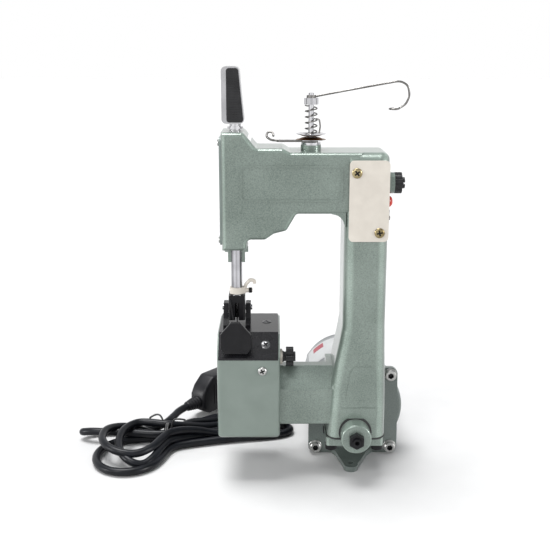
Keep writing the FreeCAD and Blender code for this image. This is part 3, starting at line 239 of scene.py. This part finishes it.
def plastic(name, dark, light, roughness, grit=0.00003, blotch=1.0, **sockets):
    """Moulded plastic or rubber with a fine eggshell grain; blotch scales how much its gloss varies."""
    material = shader(name, light, roughness, 0.0, **sockets)
    grain = texture(material, "ShaderNodeTexNoise", 1800, Detail=2.0)
    dust = texture(material, "ShaderNodeTexNoise", 120, Detail=4.0)
    tint(material, dust.outputs["Fac"], 0.35, 0.75, dark, light)
    gloss(material, dust.outputs["Fac"], roughness - 0.06 * blotch, roughness + 0.12 * blotch)
    bump(material, grain.outputs["Fac"], grit, 0.6)
    return material


TURNED = (1, 1, 0.05)                # grain that runs along Z

MATERIALS = {
    # the green casting's colour carries painted highlights on its rounded edges and painted shade on its sides
    "green": paint_side_light_bands(hammered("hammered_green", (0.115, 0.152, 0.129), (0.265, 0.322, 0.285), 0.3),
                     ENAMEL_PAINTED_HIGHLIGHT_AND_SHADE, 1.0),
    "grey_green": hammered("hammered_grey_green", (0.075, 0.094, 0.086), (0.165, 0.195, 0.182), 0.36),
    "box": smooth_paint("box_green", (0.142, 0.177, 0.156), (0.163, 0.201, 0.178), 0.3, 0.3, 0.6),
    "cover": smooth_paint("cover_green", (0.15, 0.185, 0.17), (0.20, 0.24, 0.225), 0.38),
    "black_plate": plastic("black_plate", (0.007, 0.007, 0.008), (0.010, 0.010, 0.012), 0.2, 0.000002, 0.15,
                           specular_ior_level=0.3),
    "black_steel": plastic("black_steel", (0.004, 0.004, 0.005), (0.009, 0.009, 0.010), 0.26,
                           specular_ior_level=0.22),
    # wire, chrome and bar steel carry painted reflection stripes in their colour
    "wire": paint_side_light_bands(metal("wire", (0.13, 0.125, 0.12), (0.30, 0.29, 0.28), 0.24), CHROME_PAINTED_REFLECTION),
    "steel": metal("steel", (0.22, 0.22, 0.215), (0.46, 0.46, 0.45), 0.28),
    "chrome": paint_side_light_bands(metal("chrome", (0.55, 0.55, 0.565), (0.70, 0.695, 0.715), 0.12, TURNED), CHROME_PAINTED_REFLECTION),
    "bar": paint_side_light_bands(metal("bar_steel", (0.34, 0.34, 0.355), (0.56, 0.555, 0.58), 0.14, TURNED), CHROME_PAINTED_REFLECTION),
    "zinc": metal("zinc", (0.30, 0.30, 0.29), (0.54, 0.54, 0.53), 0.32),
    "dark_zinc": metal("dark_zinc", (0.06, 0.06, 0.062), (0.19, 0.19, 0.195), 0.26),
    "yellow_zinc": metal("yellow_zinc", (0.20, 0.155, 0.075), (0.42, 0.35, 0.20), 0.3),
    "bronze": metal("bronze", (0.10, 0.05, 0.025), (0.30, 0.19, 0.11), 0.34),
    "ivory": plastic("ivory_plate", (0.49, 0.455, 0.405), (0.545, 0.51, 0.455), 0.34),
    "motor": smooth_paint("motor_silver", (0.135, 0.145, 0.148), (0.175, 0.186, 0.19), 0.32, 0.35),
    "label": plastic("motor_label", (0.31, 0.318, 0.32), (0.36, 0.37, 0.37), 0.34),
    "label_band": plastic("motor_label_band", (0.20, 0.015, 0.03), (0.26, 0.03, 0.045), 0.35),
    "black_plastic": plastic("black_plastic", (0.008, 0.008, 0.009), (0.018, 0.018, 0.020), 0.26,
                             specular_ior_level=0.35),
    "red": plastic("red_button", (0.43, 0.025, 0.015), (0.52, 0.042, 0.026), 0.2),
    "rubber": plastic("rubber", (0.012, 0.012, 0.012), (0.030, 0.030, 0.030), 0.6),
    "cord": plastic("cord_pvc", (0.003, 0.0035, 0.005), (0.006, 0.007, 0.010), 0.32,
                    specular_ior_level=0.22),
    "plug": plastic("plug_pvc", (0.004, 0.004, 0.0055), (0.009, 0.009, 0.011), 0.38,
                    specular_ior_level=0.25),
    "tie": plastic("tie", (0.015, 0.015, 0.015), (0.04, 0.04, 0.04), 0.35),
}
NODE_FINISH = {
    "green": ["body_casting", "bearing_bracket"],
    "box": ["feed_box"],
    "grey_green": ["fan_housing"],
    "cover": ["rear_cover", "face_plate"],
    "black_plate": ["cover_plate"],
    "black_steel": ["foot_shank", "presser_foot", "bracket_screws", "thrust_screw"],
    "steel": ["throat_plate", "stator", "armature", "worm", "main_shaft", "connecting_rod", "needle_beam",
              "beam_pin", "needle_bar", "presser_spring", "looper", "feed_dog", "switch_bezel"],
    "wire": ["guide_lever", "tension_spring", "guide_wire"],
    "bar": ["presser_bar"],
    "chrome": ["foot_pin", "presser_lifter", "tension_stud", "tension_nut", "guard_shell", "needle"],
    "zinc": ["flange_screws", "cover_screws", "box_screws"],
    "yellow_zinc": ["switch_screws"],
    "bronze": ["bearing_bushes", "worm_wheel", "lower_disc", "upper_disc"],
    "ivory": ["switch_plate", "thread_guide"],
    "motor": ["motor_shell", "motor_end_bell"],
    "black_plastic": ["brush_caps", "fan", "guard_cover", "switch_body", "fuse_holder", "fuse_cap",
                      "cover_knob"],
    "red": ["switch_button"],
    "rubber": ["motor_foot", "cord_gland"],
    "plug": ["plug"],
}


def dress_nodes():
    for finish, names in NODE_FINISH.items():
        for name in names:
            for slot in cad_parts[name].material_slots:
                slot.material = MATERIALS[finish]


# ------------------------------------------------------------------ power cord
CORD_DIAMETER = 6.2
LYING = 3.3                          # height of the cord's middle where it lies on the floor
PLUG_X, PLUG_Y, PLUG_AXIS_Z = -133.7, 84.9, 14   # where the cord goes into the plug
LEAD = [(-14, 141, 24), (-14, 153, 23), (-21, 165, 14), (-35, 171, 5), (-50, 165, LYING),
        (-59, 149, LYING), (-62, 128, LYING), (-61, 104, LYING), (-72, 97, LYING), (-94, 95, LYING),
        (-117, 83, 3.6), (-133, 62, 3.6)]
TAIL = [(-158, 52, 8), (-148, 54, 12), (-142.8, 67.5, 12.6), (-139.6, 77.4, 13.4),
        (PLUG_X, PLUG_Y, PLUG_AXIS_Z)]
# each left-hand loop: centre, half-sizes, first and last angle, heights along it
LOOPS = [
    ((-172, 12), (26, 30), (96, 352), (LYING, LYING, LYING, LYING, LYING)),
    ((-171, 25), (24, 28), (98, 350), (9.6, 15.6, 14.0, 10.5, 14.0)),
    ((-164, 21), (17, 29), (98, 350), (15.6, 15.6, 10.0, 3.6, 9.0)),
    ((-189, 50), (27, 8), (288, 64), (9.5, 9.5, 6.0, LYING, LYING)),
]
# each right-hand fold: places from the tie, round the fold and back to the tie
FOLDS = [
    [(-142, 28, LYING), (-124, 35, LYING), (-104, 41, LYING), (-78, 47, LYING), (-56, 51, LYING),
     (-45, 59, LYING), (-48, 69, LYING), (-64, 72, LYING), (-86, 68, LYING), (-109, 58, LYING),
     (-127, 48, LYING), (-142, 40, LYING)],
    [(-142, 31, 15), (-124, 41, 12.6), (-104, 48, 5), (-80, 54, 3.6), (-60, 60, 9.7), (-47, 70, 9.7),
     (-52, 80, 8), (-68, 82, 4), (-92, 77, LYING), (-113, 66, 4), (-129, 54, 10), (-142, 42.5, 15.7)],
    [(-142, 29.5, 9.3), (-126, 40, 6), (-105, 54.5, LYING), (-82, 61, LYING), (-64, 68, 10), (-50, 78, 16),
     (-55, 88, 12), (-70, 90, 5), (-94, 86, LYING), (-115, 75, 5), (-131, 57, 12), (-142, 36, 9.4)],
]
LOOP_STEPS = 8


def loop_points(centre, half, angles, heights):
    """One loose loop: points along part of an ellipse, its height read off the list of heights."""
    points = []
    for step in range(LOOP_STEPS + 1):
        share = step / LOOP_STEPS
        angle = math.radians(angles[0] + (angles[1] - angles[0]) * share)
        place = share * (len(heights) - 1)
        index = min(int(place), len(heights) - 2)
        height = heights[index] + (heights[index + 1] - heights[index]) * (place - index)
        points.append((centre[0] + half[0] * math.cos(angle), centre[1] + half[1] * math.sin(angle), height))
    return points


def curve_piece(name, points, diameter, finish):
    """A round cord or wire on one smooth spline."""
    data = bpy.data.curves.new(name, "CURVE")
    data.dimensions = "3D"
    data.bevel_depth = diameter / 2 * MM
    data.bevel_resolution = 6
    data.resolution_u = 8
    data.use_fill_caps = True
    spline = data.splines.new("NURBS")
    spline.points.add(len(points) - 1)
    for point, place in zip(spline.points, points):
        point.co = (*at(*place), 1)
    spline.order_u = 3
    spline.use_endpoint_u = True
    piece = bpy.data.objects.new(name, data)
    bpy.context.collection.objects.link(piece)
    data.materials.append(MATERIALS[finish])
    return piece


def make_cord():
    """The lead from the motor, three folds and four loops of the hank, and the tail to the plug."""
    points = LEAD + [(-142, 46, LYING)]
    for index, loop in enumerate(LOOPS):
        points += loop_points(*loop)
        if index < len(FOLDS):
            points += FOLDS[index]
    points += TAIL
    cord = curve_piece("power_cord", points, CORD_DIAMETER, "cord")
    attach(cord, "frame")
    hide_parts("cord_lead", "cord_hank", "cord_tail")
    return cord


def cord_length(cord):
    """Length of a curve's own line, measured on a copy without thickness."""
    bare = bpy.data.objects.new("bare", cord.data.copy())
    bare.data.bevel_depth = 0
    bpy.context.collection.objects.link(bare)
    line = [vertex.co.copy() for vertex in evaluated(bare).vertices]
    return sum((b - a).length for a, b in zip(line, line[1:]))


# ------------------------------------------------------------------ small solids
def turned(profile, steps=40):
    """A closed solid of revolution about Z from (radius, height) pairs, both ends on the axis."""
    work = bmesh.new()
    line = [work.verts.new((radius * MM, 0, height * MM)) for radius, height in profile]
    edges = [work.edges.new(pair) for pair in zip(line, line[1:])]
    bmesh.ops.spin(work, geom=line + edges, cent=(0, 0, 0), axis=(0, 0, 1), angle=math.tau, steps=steps)
    return closed(work)


def closed(work):
    bmesh.ops.remove_doubles(work, verts=work.verts, dist=1e-6)
    bmesh.ops.recalc_face_normals(work, faces=work.faces)
    mesh = bpy.data.meshes.new("solid")
    work.to_mesh(mesh)
    work.free()
    return mesh


def slab(outline, low, high):
    """A closed prism along Z from an outline of (x, y) pairs."""
    work = bmesh.new()
    face = work.faces.new([work.verts.new((x * MM, y * MM, low * MM)) for x, y in outline])
    raised = bmesh.ops.extrude_face_region(work, geom=[face])["geom"]
    bmesh.ops.translate(work, verts=[item for item in raised if isinstance(item, bmesh.types.BMVert)],
                        vec=(0, 0, (high - low) * MM))
    return closed(work)


def block(x, y, z):
    """A box from three (low, high) pairs."""
    return slab([(x[0], y[0]), (x[1], y[0]), (x[1], y[1]), (x[0], y[1])], *z)


def polygon(sides, radius):
    return [(radius * math.cos(math.tau * side / sides), radius * math.sin(math.tau * side / sides))
            for side in range(sides)]


def link(name, mesh):
    piece = bpy.data.objects.new(name, mesh)
    bpy.context.collection.objects.link(piece)
    return piece


def evaluated(piece):
    """The mesh of an object with its modifiers; the object goes away."""
    tree = bpy.context.evaluated_depsgraph_get()
    mesh = bpy.data.meshes.new_from_object(piece.evaluated_get(tree))
    bpy.data.objects.remove(piece)
    return mesh


def carved(mesh, *tools):
    """The solid with the tools cut out of it."""
    base = link("base", mesh)
    cutters = [link("tool", tool) for tool in tools]
    for cutter in cutters:
        hole = base.modifiers.new("hole", "BOOLEAN")
        hole.operation, hole.solver, hole.object = "DIFFERENCE", "EXACT", cutter
    result = evaluated(base)
    for cutter in cutters:
        bpy.data.objects.remove(cutter)
    return result


def bevelled(mesh, width, segments=3):
    piece = link("base", mesh)
    edge = piece.modifiers.new("edge", "BEVEL")
    edge.width, edge.segments, edge.limit_method, edge.angle_limit = width * MM, segments, "ANGLE", 0.6
    return evaluated(piece)


def joined(parts):
    """One mesh from (mesh, matrix) pairs; a third item picks the material index."""
    work = bmesh.new()
    for mesh, matrix, *index in parts:
        first = len(work.faces)
        work.from_mesh(mesh)
        work.faces.ensure_lookup_table()
        fresh = work.faces[first:]
        corners = {corner for face in fresh for corner in face.verts}
        bmesh.ops.transform(work, matrix=matrix, verts=list(corners))
        for face in fresh:
            face.material_index = index[0] if index else face.material_index
    mesh = bpy.data.meshes.new("joined")
    work.to_mesh(mesh)
    work.free()
    return mesh


def pose(x, y, z, toward=(0, 0, 1), turn=0):
    """Local Z along toward, at a design place, after a turn about its own axis in degrees."""
    rotation = Vector(toward).to_track_quat("Z", "Y").to_matrix().to_4x4()
    return Matrix.Translation(at(x, y, z)) @ rotation @ Matrix.Rotation(math.radians(turn), 4, "Z")


def solid_piece(name, parts, finishes, body, slot, *replaced):
    """A visual piece from joined parts, smooth where its faces meet at a small angle."""
    piece = link(name, joined(parts))
    for finish in finishes:
        piece.data.materials.append(MATERIALS[finish])
    piece.data.shade_smooth()
    crease = math.radians(32)
    work = bmesh.new()
    work.from_mesh(piece.data)
    for edge in work.edges:
        edge.smooth = len(edge.link_faces) == 2 and edge.calc_face_angle(0) < crease
    work.to_mesh(piece.data)
    work.free()
    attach(piece, body)
    if replaced:
        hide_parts(*replaced)
    return piece


# ------------------------------------------------------------------ screws
def cross_cutters(arm, width, low, high):
    """Two crossed bars, the shape of a Phillips driver's tip."""
    long_way = slab([(-arm, -width), (arm, -width), (arm, width), (-arm, width)], low, high)
    cross_way = slab([(-width, -arm), (width, -arm), (width, arm), (-width, arm)], low, high)
    return long_way, cross_way


def shade_painted_recess(mesh, reach, floor, top):
    """Gives the faces of a recess the second material, a dark one that paints the recess's shade: its floor and
    its walls within reach of the axis.
    """
    for face in mesh.polygons:
        near = face.center.xy.length < reach * MM and floor * MM - 1e-6 < face.center.z < top * MM
        if near and (abs(face.normal.z) < 0.3 or face.center.z < (floor + 0.02) * MM):
            face.material_index = 1
    return mesh


def pan_head(radius, height, shank, reach):
    """Raised head with a cross recess; its shank reaches below the seat."""
    dome = [(0, -reach), (shank, -reach), (shank, 0), (radius, 0), (radius, height * 0.35),
            (radius * 0.93, height * 0.62), (radius * 0.74, height * 0.86), (radius * 0.4, height * 0.98),
            (0, height)]
    head = carved(turned(dome), *cross_cutters(radius * 0.6, radius * 0.16, height * 0.3, height + 1))
    return shade_painted_recess(head, radius * 0.62, height * 0.3, height)


def sunk_head(radius, height, shank, reach):
    """Countersunk head standing a little proud."""
    dome = [(0, -reach), (shank, -reach), (shank, -0.2), (radius - 0.2, -0.1), (radius, height * 0.4),
            (radius * 0.8, height * 0.85), (0, height)]
    head = carved(turned(dome), *cross_cutters(radius * 0.62, radius * 0.16, height * 0.2, height + 1))
    return shade_painted_recess(head, radius * 0.64, height * 0.2, height)


def socket_head(radius, height, shank, reach, key):
    """Cylinder head with a hexagon socket, key to its corners."""
    floor = height * 0.35
    cap = [(0, -reach), (shank, -reach), (shank, 0), (radius, 0), (radius, height - 0.5), (radius - 0.5, height),
           (0, height)]
    return shade_painted_recess(carved(turned(cap), slab(polygon(6, key), floor, height + 1)), key, floor, height)


# design-frame places: X and Z of the housing's ears and of the rear cover's screws, Y and Z of the face plate's
EARS = [(-26.8, 5.5), (31.6, 5.5), (30.7, 65.2), (-26.8, 65.2)]
BACK_SPOTS = [(-89.5, 249.3), (-55, 192.5), (-30, 203.3), (14.6, 235.6), (14.9, 150), (-5, 150),
              (14.9, 89), (-5, 89), (-60, 238.4)]
SIDE_SPOTS = [(-13, 179.6), (11, 179.6), (-13, 247.4), (11, 247.4)]


def make_screws():
    # each screw's second material, black_steel, is painted shade in its driver recess
    pan = pan_head(3.5, 1.3, 1.6, 1.5)
    solid_piece("switch_plate_screws", [(pan, pose(-2.7, GRIP_FRONT_Y, 227.7, TO_FRONT, 38)),
                                        (pan, pose(13.6, GRIP_FRONT_Y, 186.3, TO_FRONT, 12))],
                ["yellow_zinc", "black_steel"], "frame", "yellow_zinc", "switch_screws")
    front, sunk = pan_head(3.2, 1.8, 1.55, 3), sunk_head(3.3, 0.7, 1.6, 1.3)
    solid_piece("feed_box_screws", [(front, pose(-67.6, BOX_FRONT_Y, 87.1, TO_FRONT, 25))],
                ["zinc", "black_steel"], "frame", "zinc", "box_screws")
    solid_piece("cover_plate_screws", [(sunk, pose(-64.7, 11.3, 111.8, turn=15)),
                                       (sunk, pose(-65.3, -20.95, 104.45, (0, -1, 1), 40))],
                ["dark_zinc", "black_steel"], "frame", "zinc")
    cap = socket_head(4.2, 3.6, 2.5, 4, 2.4)
    washer = carved(turned([(0, 0), (5, 0), (5, 0.6), (4.8, 0.8), (0, 0.8)]),
                    turned([(0, -1), (2.6, -1), (2.6, 2), (0, 2)]))
    parts = [(cap, pose(x, EARS_FRONT_Y - 0.8, z, TO_FRONT, 17 * number)) for number, (x, z) in enumerate(EARS)]
    parts += [(washer, pose(x, EARS_FRONT_Y, z, TO_FRONT)) for x, z in EARS]
    solid_piece("fan_housing_screws", parts, ["zinc", "black_steel"], "frame", "zinc", "flange_screws")
    small = sunk_head(2.4, 1.4, 1.1, 1.9)
    parts = [(small, pose(x, COVER_BACK_Y, z, (0, 1, 0), 23 * number))
             for number, (x, z) in enumerate(BACK_SPOTS)]
    parts += [(small, pose(FACE_PLATE_X, y, z, (-1, 0, 0), 31 * number))
              for number, (y, z) in enumerate(SIDE_SPOTS)]
    solid_piece("casing_cover_screws", parts, ["zinc", "black_steel"], "frame", "zinc", "cover_screws")
    bolt = socket_head(4.5, 4.6, 2.5, 6, 2.2)
    spots = [(x, y) for x in (-17, 17) for y in (-14, 14)]
    solid_piece("bracket_bolts", [(bolt, pose(x, y, BRACKET_UNDER_Z, (0, 0, -1))) for x, y in spots],
                ["black_steel", "black_steel"], "frame", "black_steel", "bracket_screws")


# ------------------------------------------------------------------ springs
def coil(radius, wire, low, high, turns):
    """A closed round wire wound about Z between two heights."""
    work = bmesh.new()
    steps, sides = round(turns * 28), 10
    rise = high - low - 2 * wire
    rings = []
    for step in range(steps + 1):
        angle, height = math.tau * turns * step / steps, low + wire + rise * step / steps
        out = Vector((math.cos(angle), math.sin(angle), 0))
        rings.append([work.verts.new((out * (radius + wire * math.cos(math.tau * side / sides))
                                      + Vector((0, 0, height + wire * math.sin(math.tau * side / sides)))) * MM)
                      for side in range(sides)])
    for ring, after in zip(rings, rings[1:]):
        for side in range(sides):
            work.faces.new((ring[side], ring[side - 1], after[side - 1], after[side]))
    work.faces.new(rings[0])
    work.faces.new(rings[-1])
    return closed(work)


def make_spring(name, x, size, finish, node):
    """A coil on the frame in place of the CAD node; nothing ties it to a joint, so it stays still.

    The size is what coil takes: radius, wire, low, high and turns.
    """
    spring = solid_piece(name, [(coil(*size), pose(x, 0, 0))], [finish], "frame", "steel", node)
    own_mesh(spring)


# ------------------------------------------------------------------ tension discs, label, collar, plug, tie
def saucer(name, centre_z, way, body, replaced):
    """A pressed disc whose rim bends away from its partner; the side that faces the partner is bronze."""
    line = [(2.03, 0), (4.4, 0), (6.2, 0.35), (8.6, 1.25), (10.1, 1.75), (10.45, 1.6)]
    back = [(10.45, 1.9), (9.9, 2.0), (8.3, 1.6), (6.0, 0.75), (4.2, 0.42), (2.03, 0.42)]
    work = bmesh.new()
    corners = [work.verts.new((radius * MM, 0, height * way * MM)) for radius, height in line + back]
    edges = [work.edges.new(pair) for pair in zip(corners, corners[1:] + corners[:1])]
    bmesh.ops.spin(work, geom=corners + edges, cent=(0, 0, 0), axis=(0, 0, 1), angle=math.tau, steps=56)
    piece = solid_piece(name, [(closed(work), pose(TENSION_X, 0, centre_z))],
                        ["chrome", "bronze"], body, "bronze", replaced)
    for face in piece.data.polygons:
        if face.normal.z * way < -0.2:
            face.material_index = 1


def make_collar():
    ring = carved(turned([(0, 0), (5.4, 0), (5.6, 0.4), (5.6, 1.4), (5.3, 1.8), (0, 1.8)]),
                  turned([(0, -1), (4.22, -1), (4.22, 3), (0, 3)]))
    solid_piece("knob_collar", [(ring, pose(-54.95, -7, 91, (1, 0, 0)))], ["ivory"], "box_knob", "ivory_metal")


def arc(x, y, radius, first, last, steps=12):
    """Points along part of a circle, its angles in degrees."""
    angles = [math.radians(first + (last - first) * step / steps) for step in range(steps + 1)]
    return [(x + radius * math.cos(angle), y + radius * math.sin(angle)) for angle in angles]


def make_gasket_and_shadow_crescent():
    """Black gasket between the grip casting and its bearing bracket, and a dark crescent over the bearing boss
    that is painted shadow for the gap under the column's arch.
    """
    corners = arc(-11.9, -13.5, 8.85, 180, 270) + arc(13.4, -13.5, 8.85, 270, 360)
    foot = slab([(-20.75, -6)] + corners + [(22.25, -6)], 31.9, 33.1)
    # the crescent is painted shadow: a dark sheet where the arch's gap lies in shade
    crescent = slab(arc(0, 37.8, 12, -22, 202, 36), 21.5, 22.35)
    middle_floor = Matrix.Translation(at(0, 0, 0))
    upright = Matrix.Rotation(math.radians(90), 4, "X")
    solid_piece("bracket_gasket_and_shadow_crescent", [(foot, middle_floor), (crescent, middle_floor @ upright)],
                ["rubber"], "frame", "rubber")


def curved_patch(radius, first, last, near, far, lift):
    """A thin sheet on a cylinder about the motor's axis, between two angles and two depths."""
    work = bmesh.new()
    steps = 24
    rows = []
    for height in (0, lift):
        for depth in (near, far):
            row = []
            for step in range(steps + 1):
                angle = math.radians(first + (last - first) * step / steps)
                reach = (radius + height) * MM
                row.append(work.verts.new((reach * math.cos(angle), depth * MM, reach * math.sin(angle))))
            rows.append(row)
    inner_near, inner_far, outer_near, outer_far = rows
    sides = ((outer_near, outer_far), (inner_far, inner_near), (inner_near, outer_near), (outer_far, inner_far))
    for left, right in sides:
        for step in range(steps):
            work.faces.new((left[step], left[step + 1], right[step + 1], right[step]))
    for step in (0, steps):
        work.faces.new((inner_near[step], inner_far[step], outer_far[step], outer_near[step]))
    return closed(work)


def make_motor_label():
    """A raised pale cover on the motor's upper left side and a plain label on it."""
    axis = Matrix.Translation(at(0, 0, MOTOR_AXIS_Z))
    cover = bevelled(curved_patch(32.9, 76, 152, 49, 101, 3.4), 1.6, 3)
    solid_piece("motor_side_cover", [(cover, axis)], ["motor"], "frame", "motor_paint")
    solid_piece("motor_label", [(curved_patch(36.2, 98, 146, 56, 95, 0.25), axis, 0),
                                (curved_patch(36.3, 120, 136, 82, 92, 0.25), axis, 1)],
                ["label", "label_band"], "frame", "ivory_plate")
    solid_piece("thread_guide_screw", [(socket_head(1.95, 2.6, 1.2, 0.2, 0.9), pose(-77.6, 0, 139.4, (1, 0, 0)))],
                ["black_steel", "black_steel"], "presser", "black_steel")


def make_plug():
    """Moulded plug with a waisted body, grip ribs, a ribbed strain relief and two pins."""
    side = [(13, 7.5), (21, 3), (52, 3), (52, 35), (26, 35), (17, 27.5), (13, 20.5)]
    half = 8
    body = bevelled(slab(side, -half, half), 2.4, 4)
    boot = [(0, -0.5), (3.5, -0.5)]
    for ring in range(5):
        start = ring * 2.7
        radius = 3.7 + ring * 0.42
        boot += [(radius, start + 0.2), (radius + 0.45, start + 0.7), (radius + 0.45, start + 1.8),
                 (radius - 0.1, start + 2.3)]
    boot += [(5.8, 14), (5.8, 16), (0, 16)]
    rib = bevelled(block((-0.6, 0.6), (-9, 9), (-0.35, 0.35)), 0.25, 2)
    pin = turned([(0, 0), (2.2, 0), (2.2, 17.6), (1.9, 18.6), (1.0, 19.0), (0, 19.0)], 28)
    place = Matrix.Translation(at(PLUG_X, PLUG_Y, 0)) @ Matrix.Rotation(math.radians(52), 4, "Z")
    upright = place @ Matrix.Rotation(math.radians(90), 4, "X")
    along = place @ Matrix.Translation((0, 0, PLUG_AXIS_Z * MM)) @ Matrix.Rotation(math.radians(90), 4, "Y")
    parts = [(body, upright, 0), (turned(boot, 32), along, 0)]
    for number in range(7):
        for side_way in (-half, half):
            shift = Matrix.Translation(Vector((27 + 3.1 * number, side_way, 19)) * MM)
            parts.append((rib, place @ shift @ Matrix.Rotation(math.radians(90), 4, "X"), 0))
    for height in (10, 28):
        shift = Matrix.Translation(Vector((51, 0, height)) * MM) @ Matrix.Rotation(math.radians(90), 4, "Y")
        parts.append((pin, place @ shift, 1))
    return solid_piece("mains_plug", parts, ["plug", "zinc"], "frame", "plug_plastic", "plug")


def make_tie():
    """The wire that holds the hank: two turns round all its strands and two curled ends."""
    centre, across, up = Vector((-144.5, 35.5, 9.5)), 11.4, 9.3
    points = []
    for step in range(25):
        angle = math.radians(step * 30 - 60)
        height = max(up * math.sin(angle), -8.4)
        points.append(centre + Vector((-1.2 + step * 0.1, across * math.cos(angle), height)))
    start = [centre + Vector((-16, 14, 9)), centre + Vector((-11, 14, 13)), centre + Vector((-5, 11, 12))]
    end = [centre + Vector((4, -1, 14)), centre + Vector((10, -4, 16)), centre + Vector((14, 1, 13))]
    tie = curve_piece("twist_tie", [tuple(point) for point in start + points + end], 1.5, "tie")
    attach(tie, "frame")


make_camera()
dress_nodes()
make_screws()
saucer("lower_tension_disc", 250.1, -1, "frame", "lower_disc")
saucer("upper_tension_disc", 250.6, 1, "disc", "upper_disc")
make_spring("presser_coil", NEEDLE_X, (5.3, 0.5, 184.1, 195.9, 4.25), "steel",
            "presser_spring")
make_spring("tension_coil", TENSION_X, (4.1, 0.5, 251.4, 272.3, 5), "wire",
            "tension_spring")
make_collar()
make_gasket_and_shadow_crescent()
make_motor_label()
plug = make_plug()
make_tie()
cord = make_cord()
length = round(cord_length(cord), 3)
print("cord length", length)


# ------------------------------------------------------------------ floor, world and lights
FLOOR_REACH, FLOOR_DROP = 9, 0.0002  # metres: half the floor's width, and how far it lies below Z = 0


def make_stage():
    """A white floor just under the part, and a sky that is white low down and greyer overhead."""
    mesh = bpy.data.meshes.new("floor")
    reach = FLOOR_REACH
    mesh.from_pydata([(-reach, -reach, 0), (reach, -reach, 0), (reach, reach, 0), (-reach, reach, 0)], [],
                     [(0, 1, 2, 3)])
    floor = link("floor", mesh)
    floor.location.z = -FLOOR_DROP
    material = shader("floor_white", (0.5, 0.5, 0.5), 0.8)
    grain = texture(material, "ShaderNodeTexNoise", 30)
    tint(material, grain.outputs["Fac"], 0.3, 0.7, (0.50, 0.50, 0.50), (0.52, 0.52, 0.52))
    mesh.materials.append(material)
    world = bpy.data.worlds.new("world")
    world.use_nodes = True
    nodes, links = world.node_tree.nodes, world.node_tree.links
    sky = nodes.new("ShaderNodeTexCoord")
    split = nodes.new("ShaderNodeSeparateXYZ")
    shade = nodes.new("ShaderNodeValToRGB")
    shade.color_ramp.elements[0].position, shade.color_ramp.elements[0].color = 0.35, (1, 1, 1, 1)
    shade.color_ramp.elements[1].position, shade.color_ramp.elements[1].color = 0.75, (0.42, 0.43, 0.45, 1)
    links.new(sky.outputs["Generated"], split.inputs["Vector"])
    links.new(split.outputs["Z"], shade.inputs["Fac"])
    links.new(shade.outputs["Color"], nodes["Background"].inputs["Color"])
    nodes["Background"].inputs["Strength"].default_value = 1.0
    bpy.context.scene.world = world


def sun(name, toward, strength, spread):
    """A soft distant lamp that shines from the direction toward."""
    data = bpy.data.lights.new(name, "SUN")
    data.energy, data.angle = strength, math.radians(spread)
    light = bpy.data.objects.new(name, data)
    light.location = Vector(toward)
    light.rotation_euler = Vector(toward).to_track_quat("Z", "Y").to_euler()
    bpy.context.collection.objects.link(light)


# each lamp: the direction it shines from, its strength and its spread in degrees
LAMPS = {
    "key": ((-0.2, 0.06, 1.0), 3.9, 34),
    "front": ((-0.55, -1.0, 0.85), 0.8, 14),
    "left": ((-1.0, -0.34, 0.22), 1.3, 7),
    "right": ((1.0, -0.42, 0.22), 1.3, 7),
}

make_stage()
for lamp, settings in LAMPS.items():
    sun(lamp, *settings)
bpy.context.scene.view_settings.view_transform = "Standard"
